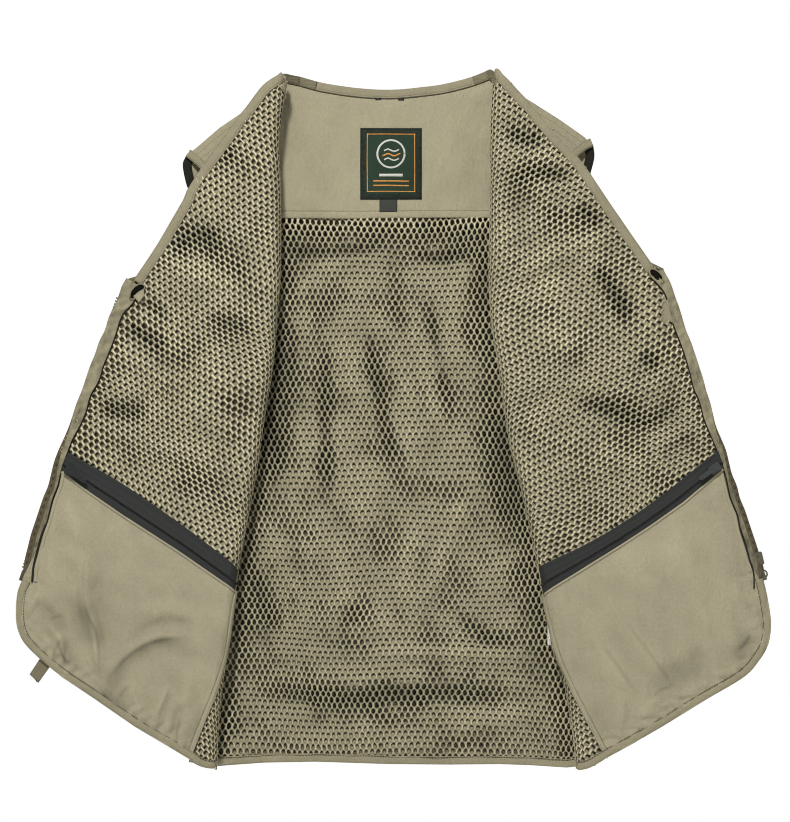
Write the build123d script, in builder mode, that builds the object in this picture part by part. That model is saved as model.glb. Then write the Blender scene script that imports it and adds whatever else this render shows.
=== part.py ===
"""Sleeveless fishing vest, size M, hanging by its neck loop, both fronts folded outwards.

Millimetres.  +Z is up, +X is the wearer's left, +Y is the outer side of the back.
The origin is the centre-back neck seam, where the hanging loop is sewn in.

Outlines are lists of (half, drop) stations: half is the distance from the centre
line, drop is measured downwards from a level 100 mm above the origin.
Depths are (low y, high y) pairs.
"""
from build123d import *
import math
import os
from typing import NamedTuple

os.makedirs("parts", exist_ok=True)

# ---------------------------------------------------------------------------
# Driving dimensions
# ---------------------------------------------------------------------------
ORIGIN_DROP = 100.0
SIDES = (("right", -1), ("left", 1))
BINDING_W = 9.0          # width of every edge binding
GAP = 0.3                # clearance between neighbouring soft pieces
TRIM_W = BINDING_W + GAP   # what a bound edge loses to its binding
YOKE_DROP = 216.5        # lower edge of the plain yoke lining

# depths of the layers, from the wearer's back (+Y) to the folded front (-Y)
Y_BACK_SHELL = (3.0, 4.4)
Y_BACK_BINDING = (-3.2, 5.0)
Y_BACK_LINING = (-2.5, -1.5)
Y_YOKE_LABEL = (-3.5, -2.7)
Y_CARE_LABEL = (-4.2, -3.6)
Y_SIDE_LINING = (-8.5, -7.5)
Y_SIDE_SHELL = (-12.5, -11.3)
Y_FRONT_BINDING = (-41.6, -34.4)
Y_FRONT_SHELL = (-36.5, -35.3)
Y_MAIN_TAPE = (-38.6, -37.6)
Y_FRONT_LINING = (-40.5, -39.5)
Y_INNER_POCKET = (-43.0, -41.8)
Y_COIL = (-45.0, -43.1)

# fold axis of each front: straight line from the neck to the hem
AXIS_TOP = (100.0, 75.0)
AXIS_HEM = (202.0, 765.0)

# front zip, chunky teeth
ZIP_TOP = (270.5, 290.0)
ZIP_END = (369.0, 572.0)
ZIP_LENGTH = math.dist(ZIP_TOP, ZIP_END)
TOOTH_PITCH = 3.2
TOOTH_LONG = 1.5
TOOTH_OUT = 2.0
SLIDER_L = 13.0

# coil zips of the inner pockets and the back pocket
TAPE_W = 24.0
COIL_W = 4.4
COIL_SLIDER_L, COIL_SLIDER_W, COIL_SLIDER_H = 12.0, 9.0, 3.4
PULL_L, PULL_W, PULL_T, PULL_RADIUS = 20.0, 5.0, 1.2, 2.0
SLIDER_PLATE_T = 2.4     # plate of every coil zip slider

# outer pockets
CHEST_W, CHEST_H, CHEST_T = 92.0, 108.0, 7.0
CARGO_W, CARGO_H, CARGO_T = 104.0, 140.0, 11.0
LID_H, LID_T = 48.0, 1.4
BACK_POCKET_W, BACK_POCKET_H, BACK_POCKET_T = 330.0, 250.0, 7.0

# ---------------------------------------------------------------------------
# Outlines: (half, drop) stations
# ---------------------------------------------------------------------------
NECK_EDGE = {
    "right": [(0, 89.5), (20, 89), (45, 86.5), (70, 82), (92, 76), (108, 73)],
    "left": [(0, 89.5), (20, 88.5), (45, 85.5), (70, 79), (88, 72), (100.5, 68.5)],
}
SHOULDER = {
    "right": [(113, 75), (129, 87), (146, 107), (174, 126), (196, 145), (208, 154)],
    "left": [(108, 71), (130, 92), (168, 117), (199, 140), (203.5, 147)],
}
ARMHOLE = [(204, 158), (199, 173), (190, 200), (184, 235), (184, 275),
           (193, 318), (212, 358), (240, 392), (250, 400)]
BODY_SIDE = [(252, 408), (246, 440), (232, 482), (216, 520), (210, 560),
             (206, 640), (203, 700), (200, 752)]
BODY_HEM = [(196, 765), (178, 769), (130, 766), (77, 765.5), (0, 767.5)]

# outermost line of the folded roll, neck to hem
CREASE = {
    "right": [(105, 84), (108, 96), (113, 131), (114, 150), (112, 200),
              (112, 270), (115, 308), (119, 359), (129, 423), (137, 476),
              (154, 568), (163, 640), (172, 690), (176, 752)],
    "left": [(102, 84), (100, 100), (98.5, 131), (98.5, 193), (97.5, 270),
             (100, 321), (108, 372), (115, 423), (120, 451), (133, 502),
             (146, 566), (156, 617), (161, 649), (171, 675), (177, 706),
             (183, 750)],
}
# V neck edge of the folded front, shoulder to zip
V_EDGE = {
    "right": [(113, 75), (129, 86), (146, 107), (154, 117), (177, 149),
              (191, 168), (205, 190), (212, 203), (236, 243), (258, 279)],
    "left": [(108, 71), (115, 78), (126, 90), (142, 107), (154, 122),
             (168, 138), (186, 157), (198, 173), (216, 200), (238, 235),
             (263, 269)],
}
# hem of the folded front, zip to fold
FRONT_HEM = {
    "right": [(370, 579), (374, 592), (376.5, 606), (376.5, 622), (374, 632),
              (367, 644), (353, 658), (330, 677), (297, 699), (258, 726),
              (225, 746), (206, 757), (199, 762)],
    "left": [(370, 579), (374, 592), (377, 606), (379, 618), (379, 632),
             (377, 643), (371, 656), (352, 677), (310, 702), (271, 726),
             (240, 744), (215, 757), (203, 764)],
}
# lower and upper edge of the tape of the slanting inner pocket zip
POCKET_MOUTH = {
    "right": [(330, 473), (270, 515), (213.5, 550.5), (156, 591)],
    "left": [(331, 469), (291, 502), (228, 545), (150, 594)],
}
POCKET_TOP = {
    "right": [(323, 453), (301.5, 465), (264.4, 487), (203, 530), (153.5, 568)],
    "left": [(324.5, 451), (266, 498), (192, 545), (146, 566)],
}


# ---------------------------------------------------------------------------
# Stations
# ---------------------------------------------------------------------------
def signed(side, stations):
    """Stations put on one side of the centre line: -1 right, 1 left."""
    return [(side * half, drop) for half, drop in stations]


def backwards(stations):
    return list(reversed(stations))


def sketch_points(side, stations):
    """Stations as (x, z) sketch coordinates."""
    return [(side * half, ORIGIN_DROP - drop) for half, drop in stations]


def along(start, end, t):
    """Point at fraction t of the way from start to end."""
    return (start[0] + (end[0] - start[0]) * t, start[1] + (end[1] - start[1]) * t)


def shift(stations, width):
    """Stations moved sideways by width, to the right of their direction."""
    moved = []
    last = len(stations) - 1
    for i, (half, drop) in enumerate(stations):
        before = stations[max(i - 1, 0)]
        after = stations[min(i + 1, last)]
        run = after[0] - before[0]
        fall = after[1] - before[1]
        length = math.hypot(run, fall)
        moved.append((half - fall / length * width, drop + run / length * width))
    return moved


def band(stations, near, far):
    """Closed strip between two parallels of a line of stations."""
    return shift(stations, near) + backwards(shift(stations, far))


def axis_half(drop):
    """Half of the fold axis at a drop."""
    return along(AXIS_TOP, AXIS_HEM, (drop - AXIS_TOP[1]) / (AXIS_HEM[1] - AXIS_TOP[1]))[0]


def half_at(stations, drop):
    """Half of a line of stations at a drop, held constant beyond its ends."""
    for start, end in zip(stations, stations[1:]):
        if start[1] <= drop <= end[1]:
            return along(start, end, (drop - start[1]) / (end[1] - start[1]))[0]
    return stations[-1][0] if drop > stations[-1][1] else stations[0][0]


def densify(stations, step):
    """The same line with stations about one step apart."""
    dense = []
    for start, end in zip(stations, stations[1:]):
        count = max(1, round(math.dist(start, end) / step))
        dense += [along(start, end, i / count) for i in range(count)]
    return dense + [stations[-1]]


def clip(stations, margin):
    """The stations outside the fold axis, ending where the line meets it."""
    kept = []
    for start, end in zip(stations, stations[1:]):
        kept.append(start)
        if end[0] < axis_half(end[1]) + margin:
            outside, inside = 0.0, 1.0
            for _ in range(40):
                middle = (outside + inside) / 2
                point = along(start, end, middle)
                if point[0] > axis_half(point[1]) + margin:
                    outside = middle
                else:
                    inside = middle
            return kept + [along(start, end, outside)]
    return kept + [stations[-1]]


def frame(origin, start, end):
    """Function placing (run, across) from origin, with run pointing from start to end."""
    length = math.dist(start, end)
    run_half = (end[0] - start[0]) / length
    run_drop = (end[1] - start[1]) / length

    def place(run, across):
        return (origin[0] + run_half * run - run_drop * across,
                origin[1] + run_drop * run + run_half * across)
    return place


def zip_frame(run, across):
    """Frame along the front zip, with its origin moved to (run, across)."""
    return frame(on_zip(run, across), ZIP_TOP, ZIP_END)


def box(place, run_0, run_1, across_0, across_1):
    """Rectangle in a frame."""
    return [place(run_0, across_0), place(run_1, across_0),
            place(run_1, across_1), place(run_0, across_1)]


# run down the zip from its lower end, across towards the fold
on_zip = frame(ZIP_END, ZIP_TOP, ZIP_END)


# ---------------------------------------------------------------------------
# Building
# ---------------------------------------------------------------------------
class Slab(NamedTuple):
    """Flat body parallel to the back: outline less cuts, corners rounded."""
    depths: tuple
    outline: list
    cuts: tuple = ()
    radius: float = 0.0


def level(y):
    """Sketch plane at depth y, facing -Y, so that extrusions run towards -Y."""
    return Plane.XZ.offset(-y)


def thickness(depths):
    return depths[1] - depths[0]


def depths_on(y, gap, thick):
    """Depths of a layer lying on the +Y side of level y."""
    return (y + gap, y + gap + thick)


def save(part, name):
    part.label = name
    export_step(part, "parts/" + name + ".step")


def build(name, *slabs, side=1):
    """Join the slabs into one piece on the given side and save it."""
    with BuildPart() as piece:
        for slab in slabs:
            with BuildSketch(level(slab.depths[1])):
                with BuildLine():
                    Polyline(*sketch_points(side, slab.outline), close=True)
                make_face()
                for cut in slab.cuts:
                    with BuildLine(mode=Mode.PRIVATE) as edge:
                        Polyline(*sketch_points(side, cut), close=True)
                    add(make_face(edge.edges(), mode=Mode.PRIVATE), mode=Mode.SUBTRACT)
                if slab.radius:
                    fillet(vertices(), slab.radius)
            extrude(amount=thickness(slab.depths))
    save(piece.part, name)


# ---------------------------------------------------------------------------
# Back
# ---------------------------------------------------------------------------
def half_back(name):
    """Edge of one half of the back, from the centre neck to the centre hem."""
    return NECK_EDGE[name] + SHOULDER[name] + ARMHOLE + BODY_SIDE + BODY_HEM


back_outline = signed(-1, half_back("right")[:-1]) + backwards(half_back("left")[1:])
neck_line = signed(-1, backwards(NECK_EDGE["right"])) + NECK_EDGE["left"][1:]
hem_line = signed(-1, BODY_HEM[:-1]) + backwards(BODY_HEM)
arm_line = [SHOULDER["right"][-1]] + ARMHOLE + [BODY_SIDE[0]]

# what the bindings take off; hem and armhole lines are lengthened to cut right through
neck_cut = band(neck_line, -12, TRIM_W)
hem_cut = band([(-215, 762)] + hem_line + [(215, 762)], 14, -TRIM_W)
arm_long = ([along(arm_line[1], arm_line[0], 3.0)] + arm_line
            + [along(arm_line[-2], arm_line[-1], 2.0)])
arm_cut = band(arm_long, -14, BINDING_W + 2 * GAP)
arm_cuts = (signed(-1, arm_cut), arm_cut)


def back_lining(name, cuts, edge_drop, align):
    """Part of the back lining on one side of a level line at edge_drop."""
    with BuildPart() as lining:
        with BuildSketch(level(Y_BACK_LINING[1])):
            with BuildLine():
                Polyline(*sketch_points(1, back_outline), close=True)
            make_face()
            for cut in cuts:
                with BuildLine(mode=Mode.PRIVATE) as edge:
                    Polyline(*sketch_points(1, cut), close=True)
                add(make_face(edge.edges(), mode=Mode.PRIVATE), mode=Mode.SUBTRACT)
            with Locations((0, ORIGIN_DROP - edge_drop)):
                Rectangle(700, 700, align=(Align.CENTER, align), mode=Mode.INTERSECT)
        extrude(amount=thickness(Y_BACK_LINING))
    save(lining.part, name)


def back_hem_binding():
    """Binding along the hem of the back, turned forwards at both sides."""
    corner = [(196, 765), (187, 767), (187, 760.5), (196, 759.5)]
    corner_depths = (-13.5, Y_BACK_BINDING[1])
    build("back_hem_binding",
          Slab(Y_BACK_BINDING, band(hem_line, 0, -BINDING_W)),
          *[Slab(corner_depths, signed(side, corner)) for side in (-1, 1)])


def armhole_binding(name, side):
    """Ring round the armhole: two edges, joined at the shoulder and under the arm."""
    y_low, y_high = -13.3, Y_BACK_BINDING[1]
    edge = band(arm_line, 0, BINDING_W)
    build("armhole_binding_" + name,
          Slab((2.0, y_high), edge),
          Slab((y_low, -6.9), edge),
          *[Slab((y_low, y_high), band(piece, 0.4, BINDING_W - 1.0))
            for piece in (arm_line[:2], arm_line[-2:])],
          side=side)


build("back_shell", Slab(Y_BACK_SHELL, back_outline, (neck_cut, hem_cut, *arm_cuts)))
back_lining("back_yoke_lining", (neck_cut, hem_cut, *arm_cuts), YOKE_DROP, Align.MIN)
back_lining("back_mesh_lining", (hem_cut, *arm_cuts), YOKE_DROP + GAP, Align.MAX)
build("neck_binding", Slab(Y_BACK_BINDING, band(neck_line, 0, BINDING_W)))
back_hem_binding()

# labels on the yoke and near the side seam:
# name, depths, centre (x, z), size, corner radius
LABELS = (
    ("woven_label", Y_YOKE_LABEL, (-1.0, -62.0), (62.0, 72.0), 1.2),
    ("size_tab", Y_YOKE_LABEL, (-3.7, -104.6), (17.5, 12.0), 0.8),
    ("care_label", Y_CARE_LABEL, (171.5, -537.0), (26.0, 18.0), 0.8),
)
for name, depths, centre, size, radius in LABELS:
    with BuildPart() as label_piece:
        with BuildSketch(level(depths[1])):
            with Locations(centre):
                RectangleRounded(*size, radius)
        extrude(amount=thickness(depths))
    save(label_piece.part, name)

# ---------------------------------------------------------------------------
# Large pocket across the outside of the back, with a zip above it
# ---------------------------------------------------------------------------
BACK_POCKET_Z = -330.0                       # top edge of the pocket
BACK_ZIP_Z = BACK_POCKET_Z + 14.0
BACK_COIL_L = BACK_POCKET_W - 30.0
BACK_SLIDER_X = -BACK_COIL_L / 2 + 8.0
Y_BACK_POCKET = depths_on(Y_BACK_SHELL[1], 0.2, BACK_POCKET_T)
Y_BACK_TAPE = (4.6, 5.4)
Y_BACK_COIL = (5.4, 7.4)
BACK_SLIDER_TOP = Y_BACK_COIL[1] + 0.2 + COIL_SLIDER_H
BACK_CHEEK_W, BACK_CHEEK_DEEP = 1.4, 2.9     # sides of the slider
BACK_PULL_HOLE_RUN = 16.0


def back_pocket():
    with BuildPart() as pocket:
        with BuildSketch(level(Y_BACK_POCKET[1])):
            with Locations((0, BACK_POCKET_Z)):
                Rectangle(BACK_POCKET_W, BACK_POCKET_H, align=(Align.CENTER, Align.MAX))
            fillet(vertices(), 22.0)
        extrude(amount=BACK_POCKET_T)
        chamfer(faces().sort_by(Axis.Y)[-1].edges(), 2.0)
    save(pocket.part, "back_pocket")


def back_pocket_zip():
    """Tape with the coil on it."""
    with BuildPart() as zip_piece:
        for depths, length, width in ((Y_BACK_TAPE, BACK_POCKET_W - 20.0, TAPE_W),
                                      (Y_BACK_COIL, BACK_COIL_L, COIL_W)):
            with BuildSketch(level(depths[1])):
                with Locations((0, BACK_ZIP_Z)):
                    Rectangle(length, width)
            extrude(amount=thickness(depths))
    save(zip_piece.part, "back_pocket_zip")


def back_pocket_slider():
    """Plate over the coil with a cheek above and below it."""
    with BuildPart() as slider:
        with BuildSketch(level(BACK_SLIDER_TOP)):
            with Locations((BACK_SLIDER_X, BACK_ZIP_Z)):
                RectangleRounded(COIL_SLIDER_L, COIL_SLIDER_W, 2.5)
        extrude(amount=SLIDER_PLATE_T)
        for sign in (-1, 1):
            cheek_z = BACK_ZIP_Z + sign * (COIL_SLIDER_W - BACK_CHEEK_W) / 2
            with BuildSketch(level(BACK_SLIDER_TOP - SLIDER_PLATE_T)):
                with Locations((BACK_SLIDER_X, cheek_z)):
                    Rectangle(COIL_SLIDER_L - 5.0, BACK_CHEEK_W)
            extrude(amount=BACK_CHEEK_DEEP)
    save(slider.part, "back_pocket_slider")


def back_pocket_pull():
    with BuildPart() as pull:
        with BuildSketch(level(BACK_SLIDER_TOP + 0.4 + PULL_T)):
            with Locations((BACK_SLIDER_X, BACK_ZIP_Z)):
                Rectangle(PULL_L, PULL_W, align=(Align.MIN, Align.CENTER))
            fillet(vertices(), PULL_RADIUS)
            with Locations((BACK_SLIDER_X + BACK_PULL_HOLE_RUN, BACK_ZIP_Z)):
                Circle(1.2, mode=Mode.SUBTRACT)
        extrude(amount=PULL_T)
    save(pull.part, "back_pocket_pull")


back_pocket()
back_pocket_zip()
back_pocket_slider()
back_pocket_pull()

# ---------------------------------------------------------------------------
# Hanging loop: webbing sewn in at two points, lying down the outer side
# ---------------------------------------------------------------------------
LOOP_HALF = 11.5         # centre line to the middle of each leg
LOOP_DROP = 34.0
LOOP_W = 6.0
Y_LOOP = (5.4, 7.0)

with BuildPart() as hanger_loop:
    with BuildSketch(level(Y_LOOP[1])):
        with Locations((0, -0.5)):
            Rectangle(2 * LOOP_HALF + LOOP_W, LOOP_DROP, align=(Align.CENTER, Align.MAX))
        # the sketch is flat in its own frame, so this group holds all four corners
        fillet(vertices().group_by(Axis.Z)[0], 12.0)
        # the opening runs out through the top, leaving a U
        with Locations((0, 1.0)):
            Rectangle(2 * LOOP_HALF - LOOP_W, LOOP_DROP - LOOP_W + 1.5,
                      align=(Align.CENTER, Align.MAX), mode=Mode.SUBTRACT)
    extrude(amount=thickness(Y_LOOP))
save(hanger_loop.part, "hanger_loop")


# ---------------------------------------------------------------------------
# Part of each front that stays with the body
# ---------------------------------------------------------------------------
def side_piece(kind, name, side, y_plate, y_strip, inset):
    """Sheet behind the folded front, roll of the fold, and strip up to the axis."""
    line = shift(CREASE[name], -inset)
    plate = (line + [(190, 752)] + backwards(BODY_SIDE[:-1])
             + backwards(ARMHOLE) + backwards(SHOULDER[name]))
    strip_edge = [(half, drop) for half, drop in densify(line, 60)
                  if axis_half(drop) - 1.0 - half > 3.0]
    strip_axis = [(axis_half(drop) - 1.0, drop) for _, drop in strip_edge]
    roll = band(CREASE[name], -inset, -inset - 1.2)
    build(kind + "_" + name,
          Slab(y_plate, plate, (arm_cut,)),
          Slab(y_strip, strip_edge + backwards(strip_axis)),
          Slab((y_strip[0], y_plate[1]), roll),
          side=side)


# ---------------------------------------------------------------------------
# Folded fronts: cloth and bindings
# ---------------------------------------------------------------------------
FACING_END = -4.0        # run of the lower end of the zip facing
FACING_MIDDLE = -ZIP_LENGTH * 0.42


def front_outline(name):
    """Front from the V edge down the zip, round the hem and up beside the fold."""
    v_edge = V_EDGE[name]
    fold_edge = [(max(axis_half(drop) + 1.0, half_at(CREASE[name], drop) + 6.0), drop)
                 for drop in (98, 120, 150, 200, 260, 330, 420, 520, 620, 700, 752)]
    return (v_edge[1:] + [(v_edge[-1][0] + 6, v_edge[-1][1] + 4)]
            + [on_zip(-ZIP_LENGTH + 4.0, 6.4), on_zip(11.0, 6.4)]
            + FRONT_HEM[name][1:-1] + backwards(fold_edge))


def front_cloth(name, side):
    """Shell, mesh lining, and the facing strip that replaces the mesh beside the zip."""
    outline = front_outline(name)
    v_edge = V_EDGE[name]
    v_cut = band([(v_edge[0][0] - 4, v_edge[0][1] - 6)] + v_edge, -16, TRIM_W)
    h_cut = band(FRONT_HEM[name], -16, TRIM_W)
    facing = [on_zip(-ZIP_LENGTH + 2.0, 8.0), on_zip(FACING_END, 8.0),
              on_zip(FACING_END, 15.0), on_zip(FACING_MIDDLE, 16.0),
              on_zip(-ZIP_LENGTH + 2.0, 23.0)]
    facing_cut = [on_zip(-ZIP_LENGTH - 30.0, -14.0), on_zip(FACING_END + GAP, -14.0),
                  on_zip(FACING_END + GAP, 15.0 + GAP), on_zip(FACING_MIDDLE, 16.0 + GAP),
                  on_zip(-ZIP_LENGTH - 30.0, 25.0 + GAP)]
    build("front_shell_" + name, Slab(Y_FRONT_SHELL, outline, (v_cut, h_cut)), side=side)
    build("front_mesh_" + name,
          Slab(Y_FRONT_LINING, outline, (v_cut, h_cut, facing_cut)), side=side)
    build("zip_facing_" + name, Slab(Y_FRONT_LINING, facing), side=side)


def front_bindings(name, side):
    """Bindings of the V neck and of the front hem."""
    hem = [(372.5, 586.0)] + FRONT_HEM[name][1:-1]
    build("neck_edge_binding_" + name,
          Slab(Y_FRONT_BINDING, band(V_EDGE[name][1:], 0, BINDING_W)), side=side)
    build("front_hem_binding_" + name,
          Slab(Y_FRONT_BINDING, band(hem, 0, BINDING_W)), side=side)


# ---------------------------------------------------------------------------
# Slanting inner pockets, on the -Y face of the folded fronts
# ---------------------------------------------------------------------------
Y_INNER_SLIDER = (Y_COIL[0] - 0.2 - SLIDER_PLATE_T, Y_COIL[0] - 0.2)
Y_INNER_CHEEK = (-46.2, -43.2)
Y_INNER_PULL = (-49.1, -47.9)


def inner_pocket(name, side):
    """Plain panel below the zip, tape, coil, slider and pull."""
    tape_low = clip(POCKET_MOUTH[name], 3.0)
    tape_up = clip(POCKET_TOP[name], 3.0)
    panel = (shift(tape_low, -GAP)
             + [(axis_half(drop) + 2.0, drop) for drop in (620, 700, 742)]
             + backwards(shift(FRONT_HEM[name], TRIM_W)[:-2])
             + [on_zip(-6, 17), on_zip(-70, 17)])
    build("inner_pocket_" + name, Slab(Y_INNER_POCKET, panel), side=side)
    build("inner_zip_tape_" + name,
          Slab(Y_INNER_POCKET, tape_low + backwards(tape_up)), side=side)

    # the coil is straight; run goes from the front zip towards the fold
    coil_start = along(tape_low[0], tape_up[0], 0.30)
    coil_end = along(tape_low[-1], tape_up[-1], 0.34)
    coil_length = math.dist(coil_start, coil_end)
    on_coil = frame(coil_start, coil_start, coil_end)

    def bar(run_0, run_1, width):
        return box(on_coil, run_0, run_1, -width / 2, width / 2)

    build("inner_zip_coil_" + name,
          Slab(Y_COIL, bar(3.0, coil_length - 3.0, COIL_W)), side=side)
    build("inner_slider_" + name,
          Slab(Y_INNER_SLIDER, bar(2.0, 2.0 + COIL_SLIDER_L, COIL_SLIDER_W), radius=2.0),
          *[Slab(Y_INNER_CHEEK,
                 box(on_coil, 4.5, COIL_SLIDER_L - 0.5, sign * 3.0, sign * 4.4))
            for sign in (-1, 1)],
          side=side)
    build("inner_pull_" + name,
          Slab(Y_INNER_PULL, bar(7.0, 7.0 + PULL_L, PULL_W), radius=PULL_RADIUS),
          side=side)


# ---------------------------------------------------------------------------
# Front zip
# ---------------------------------------------------------------------------
Y_TEETH = (-39.4, -36.8)
Y_ZIP_BOX = (-40.2, -36.2)
Y_ZIP_PIN = (-39.5, -36.7)
TOOTH_ROOT = -0.6        # across
Y_MAIN_PULL = (-34.1, -32.7)


def front_zip(name, side):
    """Tape, teeth on a common spine, and the fitting at the lower end."""
    build("main_zip_tape_" + name,
          Slab(Y_MAIN_TAPE, box(on_zip, -ZIP_LENGTH + 1, -2, 0.6, 15.0)), side=side)

    comb = [on_zip(-ZIP_LENGTH + 2.0, 0.4), on_zip(-3.0, 0.4)]
    for i in range(int((ZIP_LENGTH - 8.0) / TOOTH_PITCH)):
        run = -4.0 - i * TOOTH_PITCH
        comb += [on_zip(run, TOOTH_ROOT),
                 on_zip(run, TOOTH_ROOT - TOOTH_OUT),
                 on_zip(run - TOOTH_LONG, TOOTH_ROOT - TOOTH_OUT),
                 on_zip(run - TOOTH_LONG, TOOTH_ROOT)]
    build("main_zip_teeth_" + name, Slab(Y_TEETH, comb), side=side)

    if name == "left":      # retaining box on the slider's side
        build("main_zip_box", Slab(Y_ZIP_BOX, box(on_zip, -1.4, 9.0, -3.4, 5.0)), side=side)
    else:                   # insertion pin on the other side
        build("main_zip_pin", Slab(Y_ZIP_PIN, box(on_zip, -1.4, 9.0, -1.4, 4.2)), side=side)


on_slider = zip_frame(-6.5 - SLIDER_L, 0)    # origin at the slider's upper end


def main_slider():
    """Two plates joined by a wedge, with a bridge for the pull on the +Y side."""
    plate = [on_slider(0, -7.4), on_slider(SLIDER_L, -6.0),
             on_slider(SLIDER_L, 2.8), on_slider(0, 4.2)]
    wedge = [on_slider(0.8, -5.2), on_slider(6.0, -3.4), on_slider(0.8, -3.4)]

    def bridge(depths, run_0, run_1):
        return Slab(depths, box(on_slider, run_0, run_1, -2.8, -0.4))

    build("main_slider",
          Slab((-41.3, -39.9), plate, radius=1.4),
          Slab((-36.3, -34.9), plate, radius=1.4),
          Slab((-40.5, -35.5), wedge),
          bridge((-35.3, -31.9), 1.5, 3.3),
          bridge((-35.3, -31.9), 9.2, 11.0),
          bridge((-32.1, -30.9), 1.5, 11.0))


def main_pull():
    """Eye round the bridge and neck in one plate, then the ring."""
    plate = [on_slider(6.2, -5.6), on_slider(18.5, -4.0),
             on_slider(18.5, 0.8), on_slider(6.2, 2.4)]
    eye = box(on_slider, 7.6, 12.6, -3.4, 0.2)
    with BuildPart() as pull:
        with BuildSketch(level(Y_MAIN_PULL[1])):
            with BuildLine():
                Polyline(*sketch_points(1, plate), close=True)
            make_face()
            with BuildLine(mode=Mode.PRIVATE) as edge:
                Polyline(*sketch_points(1, eye), close=True)
            add(make_face(edge.edges(), mode=Mode.PRIVATE), mode=Mode.SUBTRACT)
        extrude(amount=thickness(Y_MAIN_PULL))
        with BuildSketch(level(Y_MAIN_PULL[1])):
            with Locations(*sketch_points(1, [on_slider(22.6, -1.6)])):
                Circle(4.8)
                Circle(3.3, mode=Mode.SUBTRACT)
        extrude(amount=thickness(Y_MAIN_PULL))
    save(pull.part, "main_pull")


# ---------------------------------------------------------------------------
# Outer pockets, on the +Y face of the folded fronts
# ---------------------------------------------------------------------------
CHEST_CORNER = (-252.0, 24.0)    # corner nearest the zip top, in the zip's frame
CHEST_ZIP_RUN = 21.0             # from the pocket's upper edge to the zip's middle
CARGO_CORNER = (-88.0, 20.0)
LID_RUN = -6.0                   # upper edge of the lid, above the pocket's
LID_OVERHANG = 1.0
LID_CORNER = 12.0                # cut off both lower corners
STUD_T = 1.6


def chest_pocket(name, side):
    """Chest pocket, its zip, and the slider with its pull."""
    on_pocket = zip_frame(*CHEST_CORNER)
    y_pocket = depths_on(Y_FRONT_SHELL[1], 0.2, CHEST_T)
    build("chest_pocket_" + name,
          Slab(y_pocket, box(on_pocket, 0, CHEST_H, 0, CHEST_W), radius=10.0), side=side)

    y = y_pocket[1] + 0.2
    on_middle = zip_frame(CHEST_CORNER[0] + CHEST_ZIP_RUN, CHEST_CORNER[1])
    build("chest_zip_" + name,
          Slab((y, y + 0.8), box(on_middle, -7, 7, 6, CHEST_W - 6)),
          Slab((y + 0.4, y + 2.4), box(on_middle, -2, 2, 8, CHEST_W - 8)),
          side=side)
    build("chest_slider_" + name,
          Slab((y + 5.0 - SLIDER_PLATE_T, y + 5.0),
               box(on_middle, -4.2, 4.2, 9, 20), radius=2.0),
          *[Slab((y + 1.0, y + 3.0), box(on_middle, sign * 2.7, sign * 4.1, 11.5, 17.5))
            for sign in (-1, 1)],
          Slab((y + 4.8, y + 6.4), box(on_middle, -2, 2, 12, 34), radius=1.6),
          side=side)


def cargo_pocket(name, side):
    """Lower pocket, its lid and the round stud on the lid."""
    on_pocket = zip_frame(*CARGO_CORNER)
    y_pocket = depths_on(Y_FRONT_SHELL[1], 0.2, CARGO_T)
    pocket = [on_pocket(0, 0), on_pocket(CARGO_H - 26, 0), on_pocket(CARGO_H, 30),
              on_pocket(CARGO_H + 14, CARGO_W), on_pocket(0, CARGO_W)]
    build("cargo_pocket_" + name, Slab(y_pocket, pocket, radius=8.0), side=side)

    y_lid = depths_on(y_pocket[1], 0.3, LID_T)
    lid_end = LID_RUN + LID_H
    near, far = -LID_OVERHANG, CARGO_W + LID_OVERHANG
    lid = [on_pocket(LID_RUN, near), on_pocket(lid_end - LID_CORNER, near),
           on_pocket(lid_end, near + LID_CORNER), on_pocket(lid_end, far - LID_CORNER),
           on_pocket(lid_end - LID_CORNER, far), on_pocket(LID_RUN, far)]
    build("cargo_lid_" + name, Slab(y_lid, lid), side=side)

    stud_centre = on_pocket(lid_end - 10, CARGO_W / 2)
    with BuildPart() as stud:
        with BuildSketch(level(y_lid[1] + 0.2 + STUD_T)):
            with Locations(*sketch_points(side, [stud_centre])):
                Circle(6.0)
        extrude(amount=STUD_T)
        fillet(faces().sort_by(Axis.Y)[-1].edges(), 0.7)
    save(stud.part, "cargo_stud_" + name)


# ---------------------------------------------------------------------------
# Webbing loop in the wearer's right hem
# ---------------------------------------------------------------------------
def hem_loop():
    """Webbing folded in two, its two layers joined at the outer end."""
    tab = [(353.5, 662.5), (363.0, 674.7), (354.0, 683.4), (344.5, 668.5)]
    tab_end = [along(tab[0], tab[1], 0.86), tab[1], tab[2], along(tab[3], tab[2], 0.86)]
    build("hem_loop_right",
          Slab((-39.2, -38.0), tab),
          Slab((-37.2, -36.0), tab),
          Slab((-39.2, -36.0), tab_end),
          side=-1)


for name, side in SIDES:
    armhole_binding(name, side)
    side_piece("side_lining", name, side, Y_SIDE_LINING, Y_FRONT_LINING, inset=0.0)
    side_piece("side_front", name, side, Y_SIDE_SHELL, Y_FRONT_SHELL, inset=3.6)
    front_cloth(name, side)
    front_bindings(name, side)
    inner_pocket(name, side)
    front_zip(name, side)
    chest_pocket(name, side)
    cargo_pocket(name, side)
main_slider()
main_pull()
hem_loop()
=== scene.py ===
"""A khaki vest, spread open and seen from its inside.

The back lies in the XZ plane and faces -Y. Both fronts are folded outwards round soft
rolls, so the linings of the back and of the fronts face the viewer, who looks along +Y.
+X is the wearer's left, side = +1; the wearer's right is side = -1.

Cloth coordinates, in mm: x from the centre line, y the drop below a level 100 mm over the
origin, z towards the viewer. A surface is a function (x, y) -> (x, y, z) that lays flat
cloth in place.
"""
import math

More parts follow.
